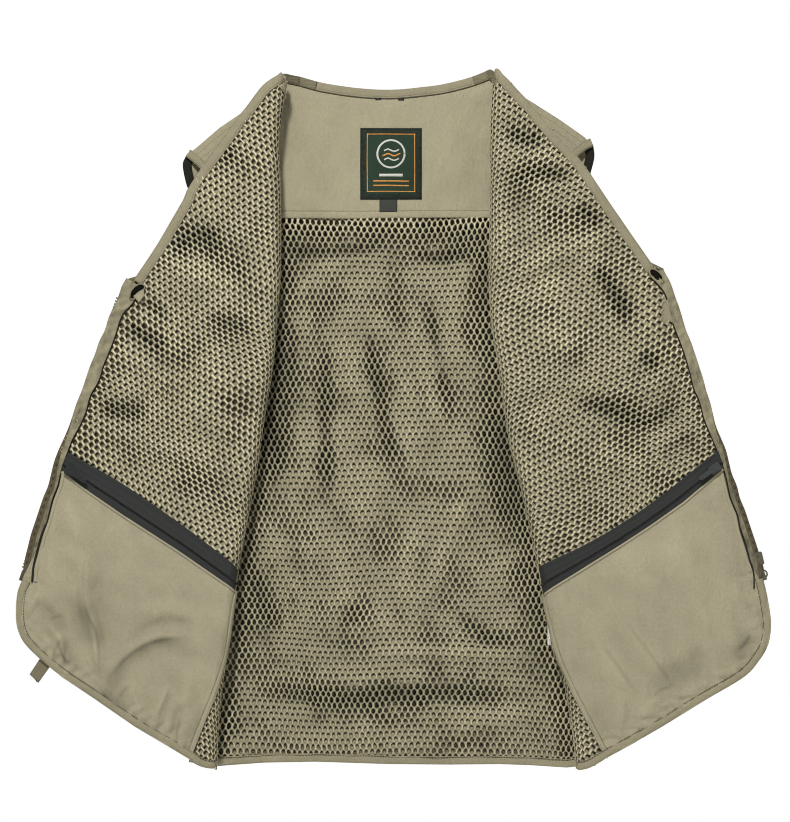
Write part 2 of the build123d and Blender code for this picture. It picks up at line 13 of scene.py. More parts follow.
import bpy
import numpy as np
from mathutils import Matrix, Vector

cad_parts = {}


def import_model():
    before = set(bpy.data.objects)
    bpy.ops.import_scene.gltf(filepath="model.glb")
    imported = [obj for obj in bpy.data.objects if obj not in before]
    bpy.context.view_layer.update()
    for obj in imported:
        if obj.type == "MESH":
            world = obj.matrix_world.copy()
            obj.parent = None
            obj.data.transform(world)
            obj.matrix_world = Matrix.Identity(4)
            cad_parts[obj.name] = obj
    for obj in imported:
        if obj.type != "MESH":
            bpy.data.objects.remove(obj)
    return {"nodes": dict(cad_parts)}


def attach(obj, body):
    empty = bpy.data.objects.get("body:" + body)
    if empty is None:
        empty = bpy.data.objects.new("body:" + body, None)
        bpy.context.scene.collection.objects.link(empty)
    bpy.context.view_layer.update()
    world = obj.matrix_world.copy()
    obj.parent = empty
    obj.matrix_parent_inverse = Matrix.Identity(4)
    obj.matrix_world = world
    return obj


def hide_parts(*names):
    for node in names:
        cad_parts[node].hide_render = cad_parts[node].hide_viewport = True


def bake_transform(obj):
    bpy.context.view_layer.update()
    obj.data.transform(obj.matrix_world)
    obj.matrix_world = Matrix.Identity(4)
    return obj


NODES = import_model()["nodes"]
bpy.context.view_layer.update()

SIDE_NAMES = {-1: "right", 1: "left"}


# ---------------------------------------------------------------------------
# numbers, curves and noise
# ---------------------------------------------------------------------------
def world(x, y, z):
    """Cloth coordinates in mm to world coordinates in metres."""
    x, y, z = np.broadcast_arrays(np.asarray(x, float), np.asarray(y, float),
                                  np.asarray(z, float))
    return np.stack([x, -z, 100.0 - y], -1) / 1000.0


def to_world(points):
    return world(points[..., 0], points[..., 1], points[..., 2])


def smooth(t):
    t = np.clip(t, 0.0, 1.0)
    return t * t * (3 - 2 * t)


def lerp(start, end, t):
    return start + (end - start) * t


def bell(offset, width):
    return np.exp(-(offset / width) ** 2)


class Waves:
    """Smooth band-limited noise: a seeded sum of cosines, about -1..1."""

    def __init__(self, seed, count, shortest, longest, angle=None, spread=0.0):
        rng = np.random.default_rng(seed)
        length = np.exp(rng.uniform(math.log(shortest), math.log(longest), count))
        turn = (rng.uniform(0, math.pi, count) if angle is None
                else math.radians(angle) + rng.uniform(-spread, spread, count))
        self.freq_x = 2 * math.pi / length * np.cos(turn)
        self.freq_y = 2 * math.pi / length * np.sin(turn)
        self.phase = rng.uniform(0, 2 * math.pi, count)
        self.size = np.sqrt(length / length.mean()) / math.sqrt(count) * 1.2

    def __call__(self, x, y):
        out = np.zeros(np.broadcast(x, y).shape)
        for freq_x, freq_y, phase, size in zip(self.freq_x, self.freq_y, self.phase, self.size):
            out = out + size * np.cos(freq_x * x + freq_y * y + phase)
        return out


def resample(points, step=None, n=None):
    """Evenly spaced points along a polyline: n of them, or one about every step mm."""
    points = np.asarray(points, float)
    pieces = np.linalg.norm(np.diff(points, axis=0), axis=1)
    run = np.concatenate([[0], np.cumsum(pieces)])
    if n is None:
        n = max(2, int(round(run[-1] / step)) + 1)
    at = np.linspace(0, run[-1], n)
    return np.stack([np.interp(at, run, column) for column in points.T], -1)


def spline(points, step):
    """Catmull-Rom through the points, resampled about every step mm."""
    points = np.asarray(points, float)
    ext = np.vstack([2 * points[0] - points[1], points, 2 * points[-1] - points[-2]])
    out = []
    for i in range(1, len(ext) - 2):
        before, start, end, after = ext[i - 1:i + 3]
        n = max(2, int(np.linalg.norm(end - start) / step * 2))
        t = np.linspace(0, 1, n, endpoint=False)[:, None]
        out.append(0.5 * (2 * start + (-before + end) * t
                          + (2 * before - 5 * start + 4 * end - after) * t * t
                          + (-before + 3 * start - 3 * end + after) * t ** 3))
    out.append(ext[-2][None])
    return resample(np.vstack(out), step=step)


def paired(first, second, step):
    """Two splines with the same number of points."""
    first, second = spline(first, step), spline(second, step)
    n = max(len(first), len(second))
    return resample(first, n=n), resample(second, n=n)


def path_normals(path):
    tangent = np.gradient(path, axis=0)
    tangent /= np.linalg.norm(tangent, axis=1)[:, None] + 1e-12
    return np.stack([-tangent[:, 1], tangent[:, 0]], -1)


def offset_line(path, distance, step=2.0):
    line = resample(path, step=step)
    return line + path_normals(line) * distance


def locate(x, y, line):
    """Distance from points to a polyline and the fraction along it."""
    best = np.full(np.broadcast(x, y).shape, 1e9)
    fraction = np.zeros_like(best)
    line = np.asarray(line, float)
    total = np.linalg.norm(np.diff(line, axis=0), axis=1).sum()
    run = 0.0
    for start, end in zip(line[:-1], line[1:]):
        span = end - start
        square = span @ span
        t = np.clip(((x - start[0]) * span[0] + (y - start[1]) * span[1]) / square, 0, 1)
        distance = np.hypot(x - start[0] - t * span[0], y - start[1] - t * span[1])
        closer = distance < best
        fraction = np.where(closer, (run + t * math.sqrt(square)) / total, fraction)
        best = np.where(closer, distance, best)
        run += math.sqrt(square)
    return best, fraction


def nearest(x, y, *lines):
    """Distance to the closest of several polylines."""
    return np.minimum.reduce([locate(x, y, line)[0] for line in lines])


def folds(x, y, items):
    """Sum of soft ridges (points, width, height), tapered at both ends."""
    out = np.zeros(np.broadcast(x, y).shape)
    for points, width, height in items:
        distance, along = locate(x, y, spline(points, 6.0))
        taper = smooth(along / 0.3) * smooth((1 - along) / 0.3)
        out = out + height * bell(distance, width) * taper
    return out


class Field:
    """A function of x and y kept on a regular grid and sampled bilinearly."""

    def __init__(self, function, top=50.0, bottom=785.0, step=2.0, half_width=400.0):
        self.left, self.top, self.step = -half_width, top, step
        self.grid = function(*np.meshgrid(np.arange(-half_width, half_width + step, step),
                                          np.arange(top, bottom + step, step)))

    def __call__(self, x, y):
        grid = self.grid
        column = np.clip((np.asarray(x, float) - self.left) / self.step, 0,
                         grid.shape[1] - 1.001)
        row = np.clip((np.asarray(y, float) - self.top) / self.step, 0,
                      grid.shape[0] - 1.001)
        i, j = column.astype(int), row.astype(int)
        x, y = column - i, row - j
        return ((grid[j, i] * (1 - x) + grid[j, i + 1] * x) * (1 - y)
                + (grid[j + 1, i] * (1 - x) + grid[j + 1, i + 1] * x) * y)


def inside_polygon(polygon, x, y):
    inside = np.zeros(np.shape(x), bool)
    x0, y0 = polygon[-1]
    for x1, y1 in polygon:
        crosses = (y1 > y) != (y0 > y)
        with np.errstate(divide="ignore", invalid="ignore"):
            cut = (x0 - x1) * (y - y1) / (y0 - y1) + x1
        inside ^= crosses & (x < cut)
        x0, y0 = x1, y1
    return inside


# ---------------------------------------------------------------------------
# outlines, as (x, y) in mm; those of the two sides are keyed by side
# ---------------------------------------------------------------------------
NECK = [(-110, 72.5), (-102, 74.5), (-92, 76.5), (-72, 82), (-52, 85.5), (-32, 88),
        (-12, 89.3), (8, 89), (28, 87), (48, 84.5), (68, 80), (83, 75.5), (94, 71),
        (100.5, 68.5)]
# middle line of the roll where a front is folded over
CREASE = {
    -1: [(-105, 78), (-107, 90), (-110.5, 112), (-113, 131), (-114, 147), (-113, 167),
         (-112, 200), (-112, 270), (-115, 308), (-119, 359), (-129, 423), (-137, 476),
         (-154, 568), (-163, 640), (-171, 690), (-175, 740), (-176, 775)],
    1: [(101.5, 74), (101, 90), (99, 124), (99, 193), (97.5, 270), (100, 321), (108, 372),
        (115, 423), (120, 451), (133, 502), (146, 566), (156, 617), (161, 649), (171, 675),
        (177, 706), (183, 745), (185, 775)]}
# neckline edge of a front, from the neck to the top of the zip
NECK_EDGE = {
    -1: [(-109, 72), (-113, 74), (-129, 85), (-146, 107), (-154, 117), (-177, 149),
         (-191, 168), (-205, 190), (-209, 200), (-234, 243), (-258.5, 280)],
    1: [(100, 68), (105, 69.5), (115, 78), (126, 90), (142, 107), (154, 122), (168, 138),
        (186, 157), (198, 173), (216, 200), (240, 235), (263, 268)]}
# lower edge of a front, from the zip inwards
HEM = {
    -1: [(-370, 580), (-374.5, 592), (-376, 606), (-376, 620), (-373.5, 632), (-367, 644),
         (-353, 658), (-330, 677), (-297, 699), (-258, 726), (-226, 745), (-206, 757),
         (-196, 764.5), (-186, 768), (-175, 769)],
    1: [(371, 578), (374.5, 592), (377, 606), (379, 620), (378.5, 633), (376, 645),
        (369, 658), (352, 677), (310, 702), (271, 726), (240, 744), (218, 756),
        (206, 763.5), (196, 768.5), (185, 770.5)]}
# both sides of the strip along the main zip, top to bottom
ZIP_OUTER = {
    -1: [(-265.5, 278), (-270, 286), (-273.5, 296), (-278, 306), (-283.5, 318), (-287, 330),
         (-293, 342), (-297, 354), (-302, 366), (-306, 378), (-310, 390), (-315, 402),
         (-319, 414), (-323, 426), (-328, 438), (-333.5, 450), (-338, 462), (-341, 474),
         (-344, 486), (-349, 498), (-353, 510), (-357, 522), (-361, 534), (-364, 546),
         (-367, 558), (-369, 570), (-370, 578)],
    1: [(271, 269), (275, 276), (279, 284), (284, 299), (287, 307), (294, 330), (299, 342),
        (303, 354), (307, 366), (311, 378), (314, 390), (318, 402), (321, 414), (324, 426),
        (329, 438), (334, 450), (337, 462), (340, 474), (345, 486), (348, 498), (353, 510),
        (357, 522), (361, 534), (365, 546), (368.5, 558), (370.5, 570), (371, 576)]}
ZIP_INNER = {
    -1: [(-249, 288), (-261, 305), (-268, 312), (-272.5, 321), (-276, 333), (-281.5, 348),
         (-289, 366), (-293.5, 381), (-302, 396), (-306, 411), (-312.5, 426), (-320, 440),
         (-326, 456), (-331, 470), (-334.5, 486), (-340, 500), (-345, 520), (-350.5, 535),
         (-355, 552), (-358.5, 566), (-360, 582)],
    1: [(259, 277), (271, 290), (276, 301), (278.5, 313), (284, 331), (291, 349),
        (297.5, 370), (302, 388), (308, 402), (312, 418), (318, 433), (324, 447), (330, 462),
        (335, 480), (339, 498), (346, 515), (349, 530), (353.5, 544), (357, 558),
        (361.5, 572), (362, 588)]}
# inner pocket: its mouth, the upper edge of its zip tape, and its edge by the roll
MOUTH = {-1: [(-331.5, 471), (-302, 492), (-270, 514), (-213.4, 550.5), (-155, 591)],
         1: [(332, 468.5), (291, 502), (260, 524), (228, 545), (149, 594)]}
TAPE_TOP = {-1: [(-324, 452), (-301.5, 465), (-264.4, 487), (-203, 530), (-152, 569)],
            1: [(326, 450), (266, 498), (230, 523), (192, 545), (145, 567)]}
PANEL_INNER = {
    -1: [(-155.5, 590.5), (-161, 617), (-166, 650), (-173, 673), (-182, 697), (-191, 719),
         (-203, 748)],
    1: [(150, 593.5), (156, 617), (164, 642), (174, 670), (192, 706), (210, 752)]}
HEM_BACK = [(-216, 756), (-203, 768), (-177, 769), (-128, 765.5), (-77, 764.6), (-2, 767),
            (58, 767.5), (108, 767), (138, 768), (176, 770.5), (204, 769), (218, 758)]
SHOULDER = {
    -1: [(-108, 73), (-130, 88), (-146, 107), (-174, 126), (-196, 145), (-208, 154.5)],
    1: [(99, 69), (114, 79), (130, 93), (168, 117), (193, 134.5), (203, 144)]}
# armhole edges of the back and of the part of the front that stays in place
ARM_BACK = {
    -1: [(-208, 154.5), (-211, 163), (-207.5, 182), (-202, 196), (-193, 228), (-188, 262),
         (-188, 292), (-197, 325), (-214, 358), (-240, 392), (-252, 402)],
    1: [(203, 144), (204, 155), (200, 172), (194, 194), (186, 226), (182, 260), (183, 292),
        (193, 325), (212, 360), (240, 392), (250, 402)]}
ARM_FRONT = {
    -1: [(-208, 154.5), (-199, 161.5), (-190, 171), (-180, 192), (-175, 228), (-175, 262),
         (-180, 300), (-192, 335), (-210, 362), (-238, 394), (-252, 402)],
    1: [(203, 144), (194, 149), (184, 160), (175, 192), (170, 228), (170, 262), (176, 300),
        (190, 335), (210, 364), (238, 395), (250, 402)]}
SIDE_SEAM = {side: [(side * x, y) for x, y in [
    (250, 402), (246, 440), (232, 482), (216, 520), (210, 560), (206, 640), (203, 700),
    (202, 750), (205, 765)]] for side in (-1, 1)}
YOKE_LOW = [(-130, 216.3), (-92, 216.8), (-42, 217.2), (0, 216.6), (48, 216.2), (88, 216.4),
            (120, 216)]

CREASE_LINE = {side: spline(CREASE[side], 3.0) for side in (-1, 1)}


def crease_x(side, y):
    """Distance of the roll's middle line from the centre line at drop y."""
    line = CREASE_LINE[side]
    return np.interp(y, line[:, 1], line[:, 0] * side)


# ---------------------------------------------------------------------------
# folds: ([(x, y), ...], width, height); "close" draws lining and shell together,
# "apart" opens a gap between them, "ridge" lifts the lining
# ---------------------------------------------------------------------------
BACK_CLOSE = [
    ([(-40, 300), (-42, 345), (-46, 400)], 12, 1.0),
    ([(6, 345), (16, 400), (20, 470)], 9, .9),
    ([(54, 270), (58, 320), (60, 372)], 11, .9),
    ([(13, 250), (18, 300), (28, 350), (48, 420), (68, 470)], 8, .7),
    ([(-52, 400), (-47, 460), (-32, 520)], 12, .9),
    ([(-20, 440), (-26, 500), (-30, 540)], 12, .8),
    ([(28, 500), (16, 560), (13, 620)], 10, .8),
    ([(88, 470), (58, 530), (38, 590), (18, 640)], 8, .9),
    ([(-130, 520), (-107, 570), (-72, 640)], 7, .7),
    ([(-62, 520), (-52, 580), (-42, 640)], 12, .8),
    ([(-42, 655), (28, 653), (138, 655)], 6, 1.2),
    ([(-102, 300), (-72, 270), (-47, 250)], 8, .6),
    ([(-142, 735), (-92, 715), (-42, 690)], 8, .6),
    ([(28, 740), (88, 720), (148, 705)], 9, .6),
    ([(78, 560), (108, 610), (128, 640)], 7, .5),
    ([(-12, 560), (-8, 600), (-4, 640)], 9, .6)]
BACK_APART = [
    ([(-114, 305), (-114, 380), (-124, 450), (-130, 500)], 15, 1.5),
    ([(98, 240), (100, 300), (108, 350)], 8, .8),
    ([(108, 400), (113, 470), (128, 540)], 15, 1.4),
    ([(-122, 248), (-62, 250), (-2, 246)], 6, .9),
    ([(18, 252), (48, 256), (88, 248)], 7, 1.1),
    ([(-66, 330), (-68, 430), (-62, 520)], 8, .8),
    ([(-30, 300), (-14, 390), (3, 480)], 8, .9),
    ([(33, 290), (48, 360), (60, 430)], 7, .7),
    ([(-47, 600), (-42, 620), (-40, 630)], 9, .8),
    ([(-152, 690), (-62, 700), (8, 696), (148, 696)], 10, 1.1),
    ([(-142, 560), (-130, 600), (-107, 640)], 10, .9),
    ([(-97, 255), (-122, 290), (-130, 310)], 9, .9),
    ([(63, 610), (98, 640), (128, 646)], 9, .6)]
BACK_RIDGE = [
    ([(-62, 250), (-54, 330), (-59, 430), (-52, 540)], 13, 2.6),
    ([(-7, 250), (6, 330), (20, 420), (26, 520)], 12, 2.2),
    ([(63, 250), (70, 330), (78, 400)], 13, 2.4),
    ([(-92, 225), (-102, 260), (-117, 300)], 11, 2.2),
    ([(88, 470), (58, 540), (33, 600), (13, 645)], 10, 2.6),
    ([(-130, 500), (-102, 570), (-62, 645)], 10, 2.2),
    ([(-27, 450), (-30, 540), (-17, 640)], 12, 2.0),
    ([(-172, 660), (-92, 657), (8, 655), (168, 656)], 7, 2.2),
    ([(-167, 684), (-72, 686), (28, 684), (168, 688)], 8, 2.6),
    ([(-162, 745), (-102, 722), (-42, 706)], 8, 1.6),
    ([(38, 750), (98, 728), (158, 712)], 8, 1.6),
    ([(-92, 755), (-42, 735), (8, 722)], 7, 1.2)]
REAR_RIDGE = [
    ([(-150, 240), (-90, 300), (-40, 380)], 12, 1.6),
    ([(150, 240), (95, 310), (50, 385)], 12, 1.6),
    ([(-60, 130), (-75, 220), (-60, 320)], 14, 1.1),
    ([(70, 130), (80, 220), (66, 330)], 14, 1.1),
    ([(-190, 470), (-182, 560), (-186, 680)], 10, 1.4),
    ([(190, 470), (182, 560), (186, 680)], 10, 1.4),
    ([(-120, 745), (-80, 715), (0, 705), (110, 730)], 9, 1.2)]
YOKE_RIDGE = [
    ([(-92, 110), (-77, 150), (-72, 195)], 9, 1.5),
    ([(-47, 105), (-52, 150), (-57, 200)], 10, -1.0),
    ([(48, 100), (63, 150), (70, 200)], 11, 1.2),
    ([(83, 95), (88, 140), (86, 190)], 9, -1.1),
    ([(-102, 200), (-52, 204), (-12, 200)], 7, .5),
    ([(38, 200), (68, 205), (96, 203)], 7, .6)]
FRONT_CLOSE = {
    -1: [([(-227, 262), (-192, 275), (-147, 298)], 10, 1.3),
         ([(-280, 340), (-252, 362), (-220, 382)], 8, 1.0),
         ([(-187, 340), (-177, 360), (-170, 395)], 13, 1.0),
         ([(-170, 190), (-156, 160), (-140, 120)], 10, .5),
         ([(-292, 428), (-252, 440), (-192, 450)], 9, .8),
         ([(-242, 270), (-227, 300), (-212, 330)], 8, .6)],
    1: [([(113, 300), (143, 290), (180, 284)], 13, 1.2),
        ([(148, 320), (168, 340), (188, 352)], 11, 1.1),
        ([(108, 285), (168, 252), (226, 232)], 7, 1.0),
        ([(208, 300), (223, 330), (236, 348)], 8, .7),
        ([(128, 400), (148, 430), (168, 455)], 11, 1.0),
        ([(113, 160), (148, 190), (168, 215)], 10, .5),
        ([(198, 440), (228, 455), (258, 470)], 9, .6)]}
FRONT_APART = {
    -1: [([(-224, 250), (-202, 238), (-177, 232)], 9, 1.2),
         ([(-187, 225), (-180, 245), (-176, 258)], 9, 1.3),
         ([(-276, 326), (-252, 332), (-222, 352)], 7, 1.4),
         ([(-192, 312), (-157, 325), (-134, 330)], 8, .9),
         ([(-297, 402), (-272, 410), (-240, 408)], 8, 1.4),
         ([(-182, 135), (-167, 150), (-157, 165)], 8, .6),
         ([(-262, 290), (-232, 310), (-217, 322)], 6, .7)],
    1: [([(108, 130), (133, 138), (153, 142)], 7, 1.1),
        ([(116, 178), (148, 172), (186, 180)], 8, 1.3),
        ([(183, 200), (198, 215), (213, 225)], 8, 1.2),
        ([(200, 258), (220, 290), (240, 325)], 8, 1.5),
        ([(248, 350), (260, 362), (270, 368)], 7, 1.2),
        ([(168, 398), (218, 408), (258, 420), (298, 392)], 9, 1.2),
        ([(263, 458), (288, 440), (308, 432)], 6, 1.0),
        ([(108, 250), (128, 240), (148, 236)], 7, .6)]}
FRONT_RIDGE = {
    -1: [([(-242, 262), (-192, 276), (-130, 300)], 12, 3.4),
         ([(-284, 338), (-247, 362), (-202, 392)], 10, 3.0),
         ([(-272, 300), (-242, 318), (-202, 330)], 9, 2.2),
         ([(-307, 425), (-262, 436), (-192, 455), (-142, 470)], 12, 3.0),
         ([(-177, 130), (-160, 175), (-142, 215)], 12, 2.0),
         ([(-302, 395), (-252, 392), (-192, 378)], 10, 1.8),
         ([(-242, 500), (-202, 505), (-157, 520)], 10, 1.8),
         ([(-162, 330), (-167, 380), (-177, 430)], 14, 2.0)],
    1: [([(108, 288), (168, 254), (230, 232)], 9, 3.6),
        ([(208, 250), (233, 300), (258, 345)], 10, 3.2),
        ([(108, 155), (153, 158), (198, 190)], 10, 2.6),
        ([(168, 215), (193, 205), (208, 200)], 9, 2.0),
        ([(113, 392), (168, 385), (248, 392), (298, 378)], 11, 3.0),
        ([(128, 420), (168, 445), (218, 455)], 11, 2.6),
        ([(248, 470), (278, 450), (308, 440)], 9, 2.4),
        ([(108, 110), (138, 125), (160, 140)], 9, 1.8),
        ([(248, 300), (268, 330), (280, 350)], 8, 2.0),
        ([(118, 500), (158, 505), (208, 510)], 11, 1.8)]}
# inner pocket panel: ridges, and painted shade as thin dark lines along the creases and as
# broad darker patches
PANEL_RIDGE = {
    -1: [([(-304, 548), (-308, 571), (-306, 603), (-298, 625), (-294, 655), (-291, 684)],
          5.0, 4.6),
         ([(-293, 560), (-295, 590), (-289, 625), (-282, 660)], 6.5, -2.6),
         ([(-316, 590), (-314, 620), (-306, 650)], 6, -2.4),
         ([(-348, 618), (-334, 636), (-322, 668)], 4.5, 2.6),
         ([(-326, 626), (-334, 648), (-338, 664)], 4.0, 2.2),
         ([(-362, 600), (-344, 612), (-320, 640)], 5.5, -1.8),
         ([(-286, 694), (-274, 664), (-258, 648), (-232, 636), (-196, 640)], 6.0, 3.6),
         ([(-280, 672), (-258, 640), (-227, 622), (-187, 628)], 7.0, -1.8),
         ([(-220, 684), (-229, 702), (-238, 724)], 4.5, 3.0),
         ([(-212, 700), (-216, 722), (-222, 740)], 4.5, -2.0),
         ([(-280, 560), (-257, 572), (-222, 590)], 10, 2.0),
         ([(-262, 600), (-232, 612), (-192, 612)], 10, 1.5),
         ([(-332, 500), (-317, 520), (-308, 550)], 9, 2.0),
         ([(-347, 540), (-337, 575), (-330, 610)], 9, 1.8),
         ([(-202, 660), (-204, 690), (-212, 715)], 6, 1.8),
         ([(-262, 680), (-256, 700), (-252, 718)], 5, 1.9)],
    1: [([(198, 630), (220, 662), (244, 696)], 6.0, 1.8),
        ([(212, 622), (236, 655), (262, 690)], 6.0, -1.2),
        ([(228, 612), (254, 648), (280, 684)], 7.0, 1.5),
        ([(258, 676), (288, 668), (320, 652)], 9, -1.8),
        ([(336, 664), (350, 648), (364, 630)], 8, -1.8),
        ([(198, 580), (248, 560), (308, 530)], 18, 1.6),
        ([(298, 560), (318, 600), (328, 640)], 14, 1.3),
        ([(248, 720), (258, 706), (272, 696)], 5, 1.5),
        ([(228, 728), (230, 706), (226, 690)], 5, 1.2),
        ([(344, 560), (353, 590), (360, 620)], 7, -1.2)]}
PANEL_CREASE_SHADE = {
    -1: [([(-301, 548), (-307.5, 560), (-308.5, 574), (-307, 600), (-302, 618), (-296, 632),
           (-293, 655), (-291, 684)], 1.3, 1.0),
         ([(-322, 668), (-330, 652), (-335, 634)], 1.2, .9),
         ([(-340, 662), (-335, 648), (-329, 634)], 1.2, .8),
         ([(-328, 668), (-327, 652), (-326, 640)], 1.2, .6),
         ([(-344, 622), (-336, 616), (-326, 616)], 1.6, .5),
         ([(-288, 690), (-280, 674), (-266, 658), (-246, 644), (-220, 638), (-196, 640)],
          1.8, .8),
         ([(-220, 684), (-228, 702), (-237, 724)], 1.4, .9),
         ([(-292, 690), (-284, 700), (-276, 714)], 1.8, .9),
         ([(-274, 700), (-268, 690), (-260, 684)], 1.5, .6),
         ([(-210, 716), (-214, 728), (-216, 744)], 1.4, .6)],
    1: [([(204, 636), (224, 664), (248, 698)], 1.8, .5),
        ([(230, 616), (258, 654), (284, 690)], 1.8, .45),
        ([(344, 652), (352, 644), (360, 632)], 1.8, .7),
        ([(258, 700), (268, 690), (284, 684)], 1.6, .5)]}
PANEL_SHADE = {
    -1: [([(-308, 596), (-304, 622), (-296, 652)], 10, 1.0),
         ([(-332, 636), (-326, 652), (-318, 668)], 8, .7),
         ([(-288, 700), (-276, 672), (-260, 654), (-234, 642), (-200, 646)], 9, .8),
         ([(-292, 684), (-280, 700), (-262, 716)], 9, .9),
         ([(-188, 700), (-192, 720), (-202, 742)], 7, .5),
         ([(-352, 600), (-340, 625), (-334, 640)], 9, .4)],
    1: [([(248, 686), (283, 678), (320, 660)], 10, .7),
        ([(340, 664), (352, 648), (362, 628)], 9, .6),
        ([(198, 700), (208, 720), (220, 738)], 8, .4)]}

# ---------------------------------------------------------------------------
# surfaces
# ---------------------------------------------------------------------------
ROLL_ACROSS, ROLL_DEPTH = 9.0, 15.5   # half axes of the roll, across and in depth
ROLL_CLOTH = 12.6                     # length of cloth per radian round the roll
FRONT_Z = 40.2                        # general level of a folded front
LINING_THICK = 0.55
SHELL_THICK = 1.2

back_noise = Waves(11, 26, 38, 120, angle=8, spread=0.5)
fine_noise = Waves(12, 30, 14, 34)
mid_noise = Waves(13, 26, 34, 90)
front_noise = Waves(21, 26, 40, 110)
front_fine_noise = Waves(22, 30, 15, 36)
yoke_noise = Waves(31, 22, 30, 120)
side_noise = Waves(51, 20, 40, 120)
panel_noise = Waves(61, 30, 22, 70)
facing_noise = Waves(62, 14, 22, 60)
crimp_noise = Waves(63, 14, 5.5, 14)
tone_noise = Waves(91, 24, 24, 80)
net_jitter = (Waves(101, 16, 6.5, 15), Waves(102, 16, 6.5, 15))
rear_noise = (Waves(111, 18, 60, 160, angle=25, spread=0.6), Waves(112, 18, 26, 60))


def over(height):
    """Surface of flat cloth at a height that depends on the place."""
    return lambda x, y: (np.asarray(x, float), np.asarray(y, float), height(x, y))


def level(z):
    return over(lambda x, y: z)


def surface_points(surface, x, y, step=0.6):
    """Positions and unit normals towards the viewer's side of the cloth, in mm."""
    points = np.stack(np.broadcast_arrays(*surface(x, y)), -1)
    along_x = np.stack(np.broadcast_arrays(*surface(x + step, y)), -1) - points
    along_y = np.stack(np.broadcast_arrays(*surface(x, y + step)), -1) - points
    normals = np.cross(along_x, along_y)
    length = np.linalg.norm(normals, axis=-1, keepdims=True)
    return points, normals / np.maximum(length, 1e-9)


def offset_surface(surface, offset):
    """The surface moved along its normals by a length or by a function of place."""
    def moved(x, y):
        points, normals = surface_points(surface, x, y)
        distance = offset(x, y) if callable(offset) else offset
        points = points + normals * np.asarray(distance, float)[..., None]
        return points[..., 0], points[..., 1], points[..., 2]
    return moved


def back_gap_at(x, y):
    """Gap between the lining of the back and its shell."""
    gap = 0.9 + 0.8 * mid_noise(x, y) + 0.4 * fine_noise(x, y)
    gap = gap - 1.9 * folds(x, y, BACK_CLOSE) + 3.4 * folds(x, y, BACK_APART)
    gap = gap + bell(y - 229, 13.0) * 2.6              # stands off below the yoke
    for side in (-1, 1):                               # deeper beside the rolls
        gap = gap + 2.6 * bell(x * side - crease_x(side, y) + 4, 13.0)
    return np.clip(gap, 0.25, 9.0)


def back_lining_at(x, y):
    z = 2.0 + 1.3 * back_noise(x, y) + 0.35 * fine_noise(x, y) + folds(x, y, BACK_RIDGE)
    z = z + 1.5 * bell(y - 232, 12.0)
    z = z * smooth((765 - y) / 14.0) + 0.2
    return lerp(0.6, z, smooth((y - 214) / 12.0))


BACK_GAP = Field(back_gap_at)
BACK_LINING_Z = Field(back_lining_at)


def back_edge(x, y):
    return nearest(x, y, NECK, SHOULDER[-1], SHOULDER[1], ARM_BACK[-1], ARM_BACK[1],
                   HEM_BACK, SIDE_SEAM[-1], SIDE_SEAM[1])


def back_shell_at(x, y):
    """Inner side of the back's outer cloth."""
    z = BACK_LINING_Z(x, y) - LINING_THICK - BACK_GAP(x, y)
    z = lerp(-1.2 + 0.5 * mid_noise(x, y), z, smooth((y - 205) / 20.0))
    z = np.maximum(z, -3.1 + 0.05 * np.minimum(z + 3.1, 0))
    return lerp(-0.6, z, smooth((back_edge(x, y) - 4) / 16.0))


SHELL_Z = Field(back_shell_at)


def rear_relief(x, y):
    """Soft folds of the outside of the back, calm round the pocket and its zip."""
    height = 0.5 + 0.55 * rear_noise[0](x, y) + 0.25 * rear_noise[1](x, y)
    height = height + folds(x, y, REAR_RIDGE)
    clear = np.maximum(np.abs(x) - 168, np.abs(y - 540) - 146)
    edge = smooth((back_edge(x, y) - 8) / 20.0)
    return np.clip(height, 0, 4) * smooth(clear / 22.0) * edge


def yoke_at(x, y):
    z = 1.9 + 0.75 * yoke_noise(x, y) + folds(x, y, YOKE_RIDGE)
    return lerp(0.7, z, smooth((nearest(x, y, NECK) - 4) / 14.0))


back_lining = over(BACK_LINING_Z)
back_shell = over(SHELL_Z)
back_rear = over(lambda x, y: SHELL_Z(x, y) - SHELL_THICK)
back_rear_folds = over(lambda x, y: SHELL_Z(x, y) - SHELL_THICK - rear_relief(x, y))
yoke = over(Field(yoke_at, top=50, bottom=260))


def front_fields(side):
    """Height of a folded front's lining, and the gap to its shell."""
    def sewn_edge(x, y):
        return nearest(x, y, NECK_EDGE[side], ZIP_INNER[side], HEM[side])

    def gap(x, y):
        loose = (0.62 + 0.75 * front_noise(x, y) + 0.3 * front_fine_noise(x, y)
                 - 1.5 * folds(x, y, FRONT_CLOSE[side])
                 + 2.7 * folds(x, y, FRONT_APART[side]))
        loose = np.clip(loose, 0.15, 7.5)
        off_edge = smooth(sewn_edge(x, y) / 16.0)
        off_roll = smooth((x * side - crease_x(side, y) - 8.0) / 16.0)
        return lerp(0.25, loose, off_edge) * lerp(0.35, 1.0, off_roll) + 0.1

    def height(x, y):
        z = (FRONT_Z + 1.4 * front_noise(x + 37, y - 20) + 0.5 * front_fine_noise(x, y)
             + folds(x, y, FRONT_RIDGE[side]))
        off_edge = smooth((sewn_edge(x, y) - 3.0) / 22.0)
        off_roll = smooth((x * side - crease_x(side, y) - 4.0) / 22.0)
        z = lerp(FRONT_Z - 0.6, z, off_edge)
        tape = np.array(TAPE_TOP[side])[::-1]
        tape_y = np.interp(x * side, tape[:, 0] * side, tape[:, 1])
        # flat from the pocket down
        z = lerp(FRONT_Z - 0.2, z, smooth((tape_y - 6.0 - y) / 46.0))
        return lerp(FRONT_Z - 0.4, z, off_roll)

    return Field(height), Field(gap)


